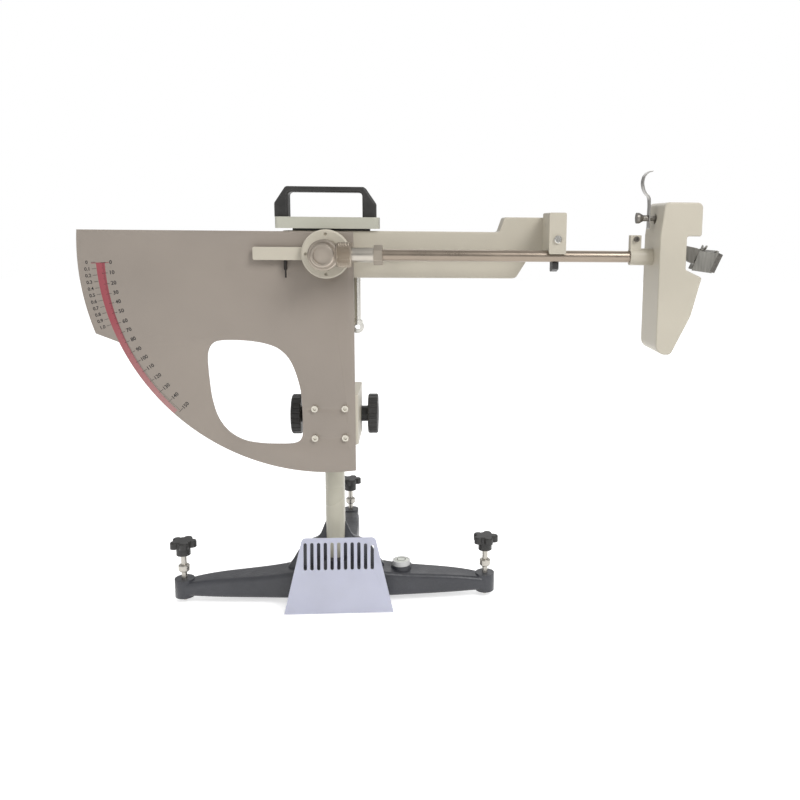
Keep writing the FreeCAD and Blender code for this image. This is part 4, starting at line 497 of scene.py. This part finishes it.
def makeBand():
    low, high = scalePrint["bandAngles"]
    pivotX, pivotZ = scalePrint["pivot"]
    upperInner, lowerInner = scalePrint["bandInner"]
    film = scalePrint["inkDepth"]
    deselect()
    bpy.ops.mesh.primitive_plane_add(size=1, location=(0, 0, 0))
    band = newest("scaleBand")
    # a plane merged to one point, drawn out to an edge across the band and spun about the pivot
    editMesh()
    bpy.ops.mesh.merge(type="CENTER")
    endEdit()
    band.data.vertices[0].co = onDial(upperInner, low, film)
    editMesh()
    across = onDial(scalePrint["bandOuter"], low) - onDial(upperInner, low)
    bpy.ops.mesh.extrude_vertices_move(TRANSFORM_OT_translate={"value": across})
    bpy.ops.mesh.select_all(action="SELECT")
    bpy.ops.mesh.spin(steps=scalePrint["bandSteps"], angle=math.radians(high - low),
                      center=(pivotX, scalePrint["face"] - film, pivotZ), axis=(0, 1, 0))
    endEdit()
    for vertex in band.data.vertices:             # the band narrows towards its lower end
        arm = Vector((vertex.co.x - pivotX, 0, vertex.co.z - pivotZ))
        if arm.length < scalePrint["bandMiddle"]:
            share = (math.degrees(math.atan2(-arm.z, -arm.x)) - low) / (high - low)
            wanted = upperInner + (lowerInner - upperInner) * share
            vertex.co.x = pivotX + arm.x / arm.length * wanted
            vertex.co.z = pivotZ + arm.z / arm.length * wanted
    solid = band.modifiers.new("inkFilm", "SOLIDIFY")
    solid.thickness = film
    solid.offset = 0
    applyAll(band)
    return joinAll("scaleBand", [band, makeTick(scalePrint["zeroLine"], low, "zeroLine")])


def makeMarks():
    spec = scalePrint
    marks = []
    for n, degrees in enumerate(spec["innerNumbers"]):
        marks.append(makeNumber(str(n * 10), spec["innerHeight"], spec["innerRadius"], degrees))
        marks.append(makeTick(spec["innerTick"], degrees))
        if n:
            before = spec["innerNumbers"][n - 1]
            for step in range(1, 10):
                tickSize = spec["middleTick"] if step == 5 else spec["fineTick"]
                marks.append(makeTick(tickSize, before + (degrees - before) * step / 10))
    low, high = spec["outerAngles"]
    last = spec["outerNumbers"] - 1
    for n in range(spec["outerNumbers"]):
        degrees = low + (high - low) * n / last
        text = "0" if n == 0 else str(n / last)
        marks.append(makeNumber(text, spec["outerHeight"], spec["outerRadius"], degrees))
        marks.append(makeTick(spec["outerTick"], degrees))
    return joinAll("scaleMarks", marks)


scaleBand = makeBand()
finishPiece(scaleBand, "head", redInk)
scaleMarks = makeMarks()
finishPiece(scaleMarks, "head", blackInk)
print("scale printed")


# broken edges on the machined and cast parts

edgeBreaks = {                                    # width of the broken edge, in metres
    "carriage": 0.0007, "head_arm": 0.0008, "catch_block": 0.0006, "handle_plate": 0.0008,
    "friction_ring": 0.0004, "pointer_arm": 0.0005, "release_latch": 0.0005, "head_clamp": 0.0006,
    "slider_lever": 0.0005, "slider_plate": 0.0004, "slider_rubber": 0.0003, "head_cover": 0.0005,
    "base_frame": 0.0009, "rod_lock_nut": 0.0004, "pointer_stop": 0.0003,
    "knuckle": 0.0006, "knuckle_cap": 0.0005,
}
sharpAngle = 38                                   # edges that turn by less stay as they are
bevelSegments = 2


def breakEdges(node, width):
    weld = node.modifiers.new("weld", "WELD")
    weld.merge_threshold = weldDistance
    bevel = node.modifiers.new("brokenEdge", "BEVEL")
    bevel.width = width
    bevel.segments = bevelSegments
    bevel.limit_method = "ANGLE"
    bevel.angle_limit = math.radians(sharpAngle)


for name, width in edgeBreaks.items():
    breakEdges(nodes[name], width)
print("edges softened:", len(edgeBreaks))


# outlines and flat sheets cut from them

def arcPoints(centre, radius, first, last, count=8):
    turns = [math.radians(first + (last - first) * n / count) for n in range(count + 1)]
    return [(centre[0] + radius * math.cos(turn), centre[1] + radius * math.sin(turn))
            for turn in turns]


def circlePoints(centre, radius, count):
    return arcPoints(centre, radius, 0, 360 - 360 / count, count - 1)


def roundedLoop(places, steps=6):
    # a closed curve through the places, each stretch steered by its neighbours
    count = len(places)
    loop = []
    for n in range(count):
        before, here, after, last = (Vector(places[(n + k) % count]) for k in (-1, 0, 1, 2))
        slope = after - before
        bend = 2 * before - 5 * here + 4 * after - last
        twist = 3 * here - before - 3 * after + last
        for step in range(steps):
            t = step / steps
            loop.append(tuple(0.5 * (2 * here + slope * t + bend * t * t + twist * t ** 3)))
    return loop


def flatSheet(name, loops, thickness, edge):
    # closed loops in the XY plane, filled with their holes open and given a thickness
    shape = bpy.data.curves.new(name, "CURVE")
    shape.dimensions = "2D"
    shape.fill_mode = "BOTH"
    shape.extrude = thickness / 2 - edge
    shape.bevel_depth = edge
    shape.bevel_resolution = 1
    shape.offset = -edge
    for loop in loops:
        spline = shape.splines.new("POLY")
        spline.points.add(len(loop) - 1)
        for point, place in zip(spline.points, loop):
            point.co = (*place, 0, 1)
        spline.use_cyclic_u = True
    return curveToMesh(name, shape)


# shoulder behind the column on the hub of the base

shoulder = {
    "profile": ((0.0145, 0.117), (0.0160, 0.1135), (0.0190, 0.106), (0.0222, 0.0985),
                (0.0270, 0.0925), (0.0350, 0.0885), (0.0440, 0.0845), (0.0510, 0.0785),
                (0.0570, 0.0695), (0.0630, 0.0590), (0.0700, 0.0500), (0.0700, 0.0450),
                (0.0145, 0.0450)),
    "turnSteps": 72,
    "narrowing": 0.30,             # how much narrower it gets from front to back
    "narrowFrom": 0.018,           # radius at which that starts
    "narrowOver": 0.034,           # and the width over which it grows
    "frontShare": 0.26,
}


def makeBell():
    shape = bpy.data.curves.new("bell", "CURVE")
    shape.dimensions = "3D"
    spline = shape.splines.new("POLY")
    spline.points.add(len(shoulder["profile"]) - 1)
    for point, (radius, height) in zip(spline.points, shoulder["profile"]):
        point.co = (radius, 0, height, 1)
    spline.use_cyclic_u = True
    bell = curveToMesh("hubBell", shape)
    turn = bell.modifiers.new("turn", "SCREW")
    turn.axis = "Z"
    turn.steps = turn.render_steps = shoulder["turnSteps"]
    turn.use_merge_vertices = True
    applyAll(bell)
    for vertex in bell.data.vertices:             # narrower front to back than along the arms
        outwards = math.hypot(vertex.co.x, vertex.co.y) - shoulder["narrowFrom"]
        share = min(1.0, max(0.0, outwards / shoulder["narrowOver"]))
        vertex.co.y *= 1 - shoulder["narrowing"] * share
        if vertex.co.y < 0:                       # the column stands clear in front of it
            vertex.co.y *= shoulder["frontShare"]
    facesOut(bell)
    smoothByAngle(bell, degrees=50)
    return bell


# grey end block of the slider

endBlock = {
    "outline": ((0.4765, 0.5174), (0.5040, 0.5140), (0.4940, 0.4890), (0.4680, 0.4925)),
    "front": -0.1380,
    "depth": 0.0014,
    "edge": 0.0003,
}


def makeEndBlock():
    block = flatSheet("sliderBlock", [endBlock["outline"]], endBlock["depth"], endBlock["edge"])
    middle = endBlock["front"] + endBlock["depth"] / 2
    moveMesh(block, turned(90, "X"), Matrix.Translation((0, middle, 0)))
    facesOut(block)
    smoothByAngle(block, degrees=40)
    return block


hubBell = makeBell()
finishPiece(hubBell, "base", finishes["base_casting"])
sliderBlock = makeEndBlock()
finishPiece(sliderBlock, "slider", partFinish["slider_plate"])
print("hub and slider covered")


# thin dark pin under the pointer's stop; the part below the stop is painted shadow, standing for the
# shadow the stop throws on the plate

stopShadowShape = {
    "radius": 0.0011,
    "drop": 0.0105,                # how far it reaches below the stop
    "sides": 24,
    "edge": 0.0003,
}


def makeStopShadowPin():
    low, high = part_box("pointer_stop")
    middle = (low + high) / 2
    deselect()
    bpy.ops.mesh.primitive_cylinder_add(vertices=stopShadowShape["sides"], radius=stopShadowShape["radius"],
                                        depth=stopShadowShape["drop"] * 2, location=(middle.x, middle.y, low.z))
    pin = newest("stopShadowPin")
    settle(pin)
    editMesh()
    bpy.ops.mesh.bevel(offset=stopShadowShape["edge"], segments=bevelSegments, affect="EDGES")
    endEdit()
    facesOut(pin)
    smoothByAngle(pin, degrees=40)
    return pin


# bent strip of the lifting hook, drawn from its foot upwards

hookStrip = {
    "path": ((0.0, 0.0), (0.0, 0.018), (0.0, 0.034), (-0.0012, 0.0415), (-0.0062, 0.0475),
             (-0.0092, 0.0555), (-0.0094, 0.0635), (-0.0066, 0.0705), (-0.0012, 0.0745),
             (0.0022, 0.0752)),
    "thickness": 0.0016,
    "halfWidth": 0.38,             # in widths of the plain CAD strip
    "footHeight": 0.01,            # the straight foot, which gives the place along the head
    "lift": 0.0002,
    "edge": 0.0003,
    "edgeAngle": 60,
}


def makeHook():
    low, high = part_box("lifting_hook")
    node = nodes["lifting_hook"]
    places = [node.matrix_world @ vertex.co for vertex in node.data.vertices]
    foot = [place.x for place in places if place.z < low.z + hookStrip["footHeight"]]
    middle = (min(foot) + max(foot)) / 2
    reach = min(1.0, (high.z - low.z) / (hookStrip["path"][-1][1] + hookStrip["thickness"]))
    shape = bpy.data.curves.new("hook", "CURVE")
    shape.dimensions = "2D"
    shape.extrude = (high.y - low.y) * hookStrip["halfWidth"]
    shape.resolution_u = 8
    spline = shape.splines.new("BEZIER")
    spline.bezier_points.add(len(hookStrip["path"]) - 1)
    for point, (x, z) in zip(spline.bezier_points, hookStrip["path"]):
        point.co = (x, z * reach, 0)
        point.handle_left_type = point.handle_right_type = "AUTO"
    hook = curveToMesh("liftingHook", shape)
    place = (middle, (low.y + high.y) / 2, low.z + hookStrip["lift"])
    moveMesh(hook, turned(90, "X"), Matrix.Translation(place))
    thick = hook.modifiers.new("thick", "SOLIDIFY")
    thick.thickness = hookStrip["thickness"]
    thick.offset = 0
    edge = hook.modifiers.new("edge", "BEVEL")
    edge.width = hookStrip["edge"]
    edge.segments = bevelSegments
    edge.angle_limit = math.radians(hookStrip["edgeAngle"])
    applyAll(hook)
    facesOut(hook)
    smoothByAngle(hook, degrees=40)
    return hook


# packing between the top beam and the handle plate, finished black as painted shade for the shadow the
# plate throws on it

shadedPackingStrip = {
    "span": (-0.046, 0.055),
    "widthShare": 0.6,             # of the plate's width
    "heightShare": 0.98,           # of the gap
}


def makeShadedPacking():
    plateLow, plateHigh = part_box("handle_plate")
    beam = nodes["top_beam"]
    left, right = shadedPackingStrip["span"]
    places = [beam.matrix_world @ vertex.co for vertex in beam.data.vertices]
    beamTop = max(place.z for place in places if left < place.x < right)
    size = (right - left, (plateHigh.y - plateLow.y) * shadedPackingStrip["widthShare"],
            (plateLow.z - beamTop) * shadedPackingStrip["heightShare"])
    middle = ((left + right) / 2, (plateLow.y + plateHigh.y) / 2, (plateLow.z + beamTop) / 2)
    deselect()
    bpy.ops.mesh.primitive_cube_add(size=1)
    packing = newest("shadedHandlePacking")
    moveMesh(packing, Matrix.Diagonal((*size, 1)), Matrix.Translation(middle))
    return packing


stopShadowPin = makeStopShadowPin()
# dark finish: painted shadow of the pointer's stop on the plate
finishPiece(stopShadowPin, "head", finishes["dark_steel"])
liftingHook = makeHook()
finishPiece(liftingHook, "pendulum", partFinish["lifting_hook"])
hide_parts("lifting_hook")
shadedHandlePacking = makeShadedPacking()
# black finish: painted shade under the handle plate
finishPiece(shadedHandlePacking, "head", finishes["black_plastic"])
print("pin, hook and packing made")


# scale plate, with the long lower curve of its window

dial = {
    "pivot": 0.508,
    "outerRadius": 0.323,
    "innerRadius": 0.300,
    "above": 0.029,                # top edge over the pivot
    "right": 0.0343,
    "stepOuter": 0.107,            # where the step lies on either arc, below the pivot
    "stepInner": 0.1185,
    "corner": 0.002,
    "screwSpread": 0.0205,
    "screwHeight": 0.2775,
    "screwRadius": 0.00255,
    "barrel": 0.02505,             # hole round the bearing's barrel
    "window": ((-0.1610, 0.3560), (-0.1595, 0.3340), (-0.1570, 0.3120), (-0.1500, 0.2870),
               (-0.1370, 0.2680), (-0.1180, 0.2555), (-0.0960, 0.2505), (-0.0700, 0.2490),
               (-0.0480, 0.2500), (-0.0390, 0.2570), (-0.0372, 0.2720), (-0.0375, 0.3000),
               (-0.0400, 0.3280), (-0.0500, 0.3600), (-0.0640, 0.3780), (-0.0830, 0.3870),
               (-0.1100, 0.3915), (-0.1400, 0.3920), (-0.1540, 0.3875), (-0.1605, 0.3750)),
    "edge": 0.0003,
}


def turnAt(drop, radius):
    return math.degrees(math.asin(drop / radius))


def dialOutline():
    pivot = (0, dial["pivot"])
    outer, inner, corner = dial["outerRadius"], dial["innerRadius"], dial["corner"]
    cornerHeight = dial["pivot"] + dial["above"] - corner
    outline = arcPoints(pivot, outer, 180 + turnAt(-dial["above"], outer),
                        180 + turnAt(dial["stepOuter"], outer), count=24)
    outline += arcPoints(pivot, inner, 180 + turnAt(dial["stepInner"], inner),
                         270 + turnAt(dial["right"], inner), count=60)
    outline += [(dial["right"], cornerHeight)]
    outline += arcPoints((dial["right"] - corner, cornerHeight), corner, first=30, last=90, count=3)
    return outline


def makeDialPlate():
    low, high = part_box("dial_plate")
    spacing, height = dial["screwSpread"], dial["screwHeight"]
    loops = [dialOutline(), roundedLoop(dial["window"]),
             circlePoints((0, dial["pivot"]), dial["barrel"], count=60)]
    for x in (-spacing, spacing):
        for z in (height - spacing, height + spacing):
            loops.append(circlePoints((x, z), dial["screwRadius"], count=24))
    plate = flatSheet("dialPlate", loops, high.y - low.y, dial["edge"])
    moveMesh(plate, turned(90, "X"), Matrix.Translation((0, (low.y + high.y) / 2, 0)))
    facesOut(plate)
    smoothByAngle(plate, degrees=30)
    return plate


# slotted plastic scraper, leaning back a little; bottom and top are half widths

scraper = {
    "bottom": 0.077,
    "top": 0.052,
    "height": 0.108,
    "thickness": 0.0025,
    "lean": 6.0,
    "middle": 0.008,
    "corner": 0.006,
    "cornerShift": 0.11,
    "cornerStart": 4,
    "slots": 11,
    "slotPitch": 0.0094,
    "slotWidth": 0.0048,
    "slotLow": 0.062,
    "slotHigh": 0.1015,
    "shorter": {9: 0.0018, 10: 0.0042},           # the last two slots end lower
    "edge": 0.0003,
}


def makeScraper():
    low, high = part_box("water_scraper")
    bottom, top, height, corner = (scraper[key] for key in ("bottom", "top", "height", "corner"))
    slant = math.degrees(math.atan2(height, bottom - top))
    shift = corner * math.tan(math.radians(slant / 2)) * scraper["cornerShift"]
    right = arcPoints((top - corner + shift, height - corner), corner,
                      90 - slant + scraper["cornerStart"], 90)
    loops = [[(-bottom, 0), (bottom, 0)] + right + [(-x, y) for x, y in reversed(right)]]
    half = scraper["slotWidth"] / 2
    for n in range(scraper["slots"]):
        x = (n - (scraper["slots"] - 1) / 2) * scraper["slotPitch"]
        ceiling = scraper["slotHigh"] - scraper["shorter"].get(n, 0) - half
        floor = scraper["slotLow"] + half
        upperEnd = arcPoints((x, ceiling), half, first=0, last=180)
        lowerEnd = arcPoints((x, floor), half, first=180, last=360)
        loops.append(upperEnd + lowerEnd)
    sheet = flatSheet("waterScraper", loops, scraper["thickness"], scraper["edge"])
    slope = math.sin(math.radians(scraper["lean"]))
    place = (scraper["middle"], high.y - height * slope, low.z + scraper["thickness"] * slope)
    moveMesh(sheet, turned(90, "X"), Matrix.Translation((0, -scraper["thickness"] / 2, 0)),
             turned(-scraper["lean"], "X"), Matrix.Translation(place))
    facesOut(sheet)
    smoothByAngle(sheet, degrees=40)
    return sheet


dialPlate = makeDialPlate()
finishPiece(dialPlate, "head", finishes["dial_paint"])
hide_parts("dial_plate")
waterScraper = makeScraper()
finishPiece(waterScraper, "scraper", finishes["clear_plastic"])
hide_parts("water_scraper")
print("plates cut")


# knurled collar on the pendulum arm

collar = {
    "rows": 15,
    "teeth": 60,
    "height": 0.00055,
    "rim": 0.0016,
    "rimProfile": ((0.2, 0.985), (0.55, 1.0), (0.25, 0.95)),     # share of the rim, then of the size
    "rimShare": 0.93,              # about what is left of the radius at the rim's end
    "bore": 0.00755,
    "match": 0.000001,             # how near its place a point of an end ring lies
}


def makeKnurledCollar():
    low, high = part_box("rod_collar")
    middle = (low + high) / 2
    centre = (middle.x, middle.y, middle.z)
    radius = (high.z - low.z) / 2
    start, end = low.x + collar["rim"], high.x - collar["rim"]
    pitch = (end - start) / collar["rows"]
    deselect()
    bpy.ops.mesh.primitive_circle_add(vertices=collar["teeth"], radius=radius - collar["height"],
                                      location=(start, middle.y, middle.z),
                                      rotation=(0, math.pi / 2, 0))
    piece = newest("knurledCollar")
    settle(piece)
    editMesh()
    turn = math.pi / collar["teeth"]
    for row in range(collar["rows"]):             # a pitch further and half a tooth to and fro
        bpy.ops.mesh.extrude_region_move(TRANSFORM_OT_translate={"value": (pitch, 0, 0)})
        bpy.ops.transform.rotate(value=turn if row % 2 else -turn, orient_axis="X",
                                 center_override=centre)
    bpy.ops.mesh.select_all(action="SELECT")
    bpy.ops.mesh.poke(offset=collar["height"])
    endEdit()
    # smooth rims and the bore close the ring
    profile = (*collar["rimProfile"], (0.0, collar["bore"] / radius / collar["rimShare"]))
    for edge, outwards in ((start, -1), (end, 1)):
        editMesh("DESELECT")
        endEdit()
        for vertex in piece.data.vertices:
            vertex.select = abs(vertex.co.x - edge) < collar["match"]
        bpy.ops.object.mode_set(mode="EDIT")
        bpy.ops.mesh.select_mode(type="VERT")
        for reach, size in profile:
            bpy.ops.mesh.extrude_region_move(
                TRANSFORM_OT_translate={"value": (outwards * collar["rim"] * reach, 0, 0)})
            bpy.ops.transform.resize(value=(1, size, size), center_override=centre)
        endEdit()
    editMesh("DESELECT")
    bpy.ops.mesh.select_non_manifold(extend=False)
    bpy.ops.mesh.bridge_edge_loops()
    endEdit()
    facesOut(piece)
    smoothByAngle(piece, degrees=12)
    return piece


knurledCollar = makeKnurledCollar()
finishPiece(knurledCollar, "pendulum", partFinish["rod_collar"])
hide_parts("rod_collar")
print("collar knurled")


# bubble and ring of the round level

level = {
    "bubble": 0.0042,
    "bubbleDepth": 0.0014,         # its middle, below the glass's top
    "bubbleFlatness": 0.28,
    "offset": (0.0012, -0.0008),
    "ring": 0.0062,
    "ringWidth": 0.0005,
    "ringFlatness": 0.3,
}


def flatten(obj, share):
    obj.scale = (1, 1, share)
    settle(obj)
    bpy.ops.object.shade_smooth()


def makeLevel():
    low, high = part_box("level_glass")
    centre = (low + high) / 2
    shiftX, shiftY = level["offset"]
    deselect()
    bpy.ops.mesh.primitive_uv_sphere_add(segments=32, ring_count=16, radius=level["bubble"],
                                         location=(centre.x + shiftX, centre.y + shiftY,
                                                   high.z - level["bubbleDepth"]))
    bubble = newest("levelBubble")
    flatten(bubble, level["bubbleFlatness"])
    deselect()
    bpy.ops.mesh.primitive_torus_add(major_radius=level["ring"], minor_radius=level["ringWidth"],
                                     major_segments=48, minor_segments=8,
                                     location=(centre.x, centre.y, high.z))
    ring = newest("levelRing")
    flatten(ring, level["ringFlatness"])
    return bubble, ring


levelBubble, levelRing = makeLevel()
finishPiece(levelBubble, "base", bubbleAir)
finishPiece(levelRing, "base", blackInk)
print("level filled")


# coil spring behind the slider lever

coil = {
    "wire": 0.00065,
    "turns": 6,
    "sides": 10,
    "turnSteps": 28,
}


def makeSpring():
    low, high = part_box("head_spring")
    middle = (low + high) / 2
    radius = (high.z - low.z) / 2 - coil["wire"]
    length = high.x - low.x - coil["wire"] * 2
    deselect()
    bpy.ops.mesh.primitive_circle_add(vertices=coil["sides"], radius=coil["wire"],
                                      location=(0, 0, 0), rotation=(math.pi / 2, 0, 0))
    spring = newest("leverSpring")
    settle(spring)
    moveMesh(spring, Matrix.Translation((radius, 0, 0)))
    screw = spring.modifiers.new("coil", "SCREW")
    screw.axis = "Z"
    screw.angle = math.tau
    screw.screw_offset = length / coil["turns"]
    screw.iterations = coil["turns"]
    screw.steps = screw.render_steps = coil["turnSteps"]
    applyAll(spring)
    editMesh("DESELECT")
    bpy.ops.mesh.select_non_manifold(extend=False)
    bpy.ops.mesh.edge_face_add()
    endEdit()
    moveMesh(spring, turned(90, "Y"),
             Matrix.Translation((low.x + coil["wire"], middle.y, middle.z)))
    facesOut(spring)
    smoothByAngle(spring, degrees=50)
    return spring


leverSpring = makeSpring()
finishPiece(leverSpring, "pendulum", finishes["steel"])
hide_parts("head_spring")
print("spring wound")


# studio

white = (1, 1, 1, 1)
studio = {
    "camera": (0.1111, -1.1989, 0.5476),
    "look": (0.0713, 0.9858, -0.1519),
    "roll": 0.0093,
    "lens": 38.08,
    "sensor": 36,
    "shift": (-0.0900, -0.0565),
    "world": (0.22, 0.62),         # strength below the horizon and overhead
    "worldReach": (-0.4, 0.7),     # the heights between which it grows
    "lamps": (("keyLamp", (1.5, -2.0, 2.3), 1.2, 44.0),          # place, size and watts
              ("fillLamp", (-2.0, -1.8, 1.2), 2.4, 9.0),
              ("backLamp", (0.4, 2.2, 2.2), 2.0, 14.0)),
    "aim": (0.05, 0.0, 0.35),
    "floorSize": 14,
    "floorColor": (0.93, 0.93, 0.93),
    "floorGlow": 0.6,              # seen by the camera, in reflections and through glass
}


def lookAlong(direction):
    return Vector(direction).to_track_quat("-Z", "Y")


def makeCamera():
    data = bpy.data.cameras.new("photoCamera")
    camera = bpy.data.objects.new("photoCamera", data)
    bpy.context.scene.collection.objects.link(camera)
    camera.location = studio["camera"]
    camera.rotation_mode = "QUATERNION"
    camera.rotation_quaternion = lookAlong(studio["look"]) @ Quaternion((0, 0, 1), studio["roll"])
    data.lens = studio["lens"]
    data.sensor_width = studio["sensor"]
    data.shift_x, data.shift_y = studio["shift"]
    bpy.context.scene.camera = camera


def makeLamps():
    for name, place, size, power in studio["lamps"]:
        lamp = bpy.data.lights.new(name, "AREA")
        lamp.size = size
        lamp.energy = power
        holder = bpy.data.objects.new(name, lamp)
        bpy.context.scene.collection.objects.link(holder)
        holder.location = place
        holder.rotation_mode = "QUATERNION"
        holder.rotation_quaternion = lookAlong(Vector(studio["aim"]) - Vector(place))


def makeWorld():
    world = bpy.data.worlds.new("paleRoom")
    bpy.context.scene.world = world
    world.use_nodes = True
    tree = world.node_tree
    light = tree.nodes["Background"]
    light.inputs["Color"].default_value = white
    sky = tree.nodes.new("ShaderNodeTexCoord")
    split = tree.nodes.new("ShaderNodeSeparateXYZ")
    tree.links.new(sky.outputs["Generated"], split.inputs["Vector"])
    strength = spread(tree, split.outputs["Z"], *studio["world"], *studio["worldReach"])
    tree.links.new(strength, light.inputs["Strength"])
    seen = tree.nodes.new("ShaderNodeBackground")
    seen.inputs["Color"].default_value = white
    seen.inputs["Strength"].default_value = 1.0
    path = tree.nodes.new("ShaderNodeLightPath")
    mix = tree.nodes.new("ShaderNodeMixShader")
    tree.links.new(path.outputs["Is Camera Ray"], mix.inputs["Fac"])
    tree.links.new(light.outputs["Background"], mix.inputs[1])
    tree.links.new(seen.outputs["Background"], mix.inputs[2])
    tree.links.new(mix.outputs["Shader"], tree.nodes["World Output"].inputs["Surface"])


def makeFloor():
    deselect()
    bpy.ops.mesh.primitive_plane_add(size=studio["floorSize"], location=(0, 0, 0))
    floor = newest("studioFloor")
    editMesh()
    bpy.ops.mesh.subdivide(number_cuts=4)
    endEdit()
    floorPaint, tree, shader = newMaterial("floorPaint", studio["floorColor"], roughness=0.9)
    shader.inputs["Specular IOR Level"].default_value = 0.1
    shader.inputs["Emission Color"].default_value = white
    path = tree.nodes.new("ShaderNodeLightPath")
    seen = path.outputs["Is Camera Ray"]
    for other in ("Is Glossy Ray", "Is Transmission Ray"):
        seen = combine(tree, "MAXIMUM", seen, path.outputs[other])
    glow = combine(tree, "MULTIPLY", seen, studio["floorGlow"])
    tree.links.new(glow, shader.inputs["Emission Strength"])
    floor.data.materials.append(floorPaint)


makeCamera()
makeLamps()
makeWorld()
makeFloor()
bpy.context.scene.view_settings.view_transform = "Standard"
print("studio ready")
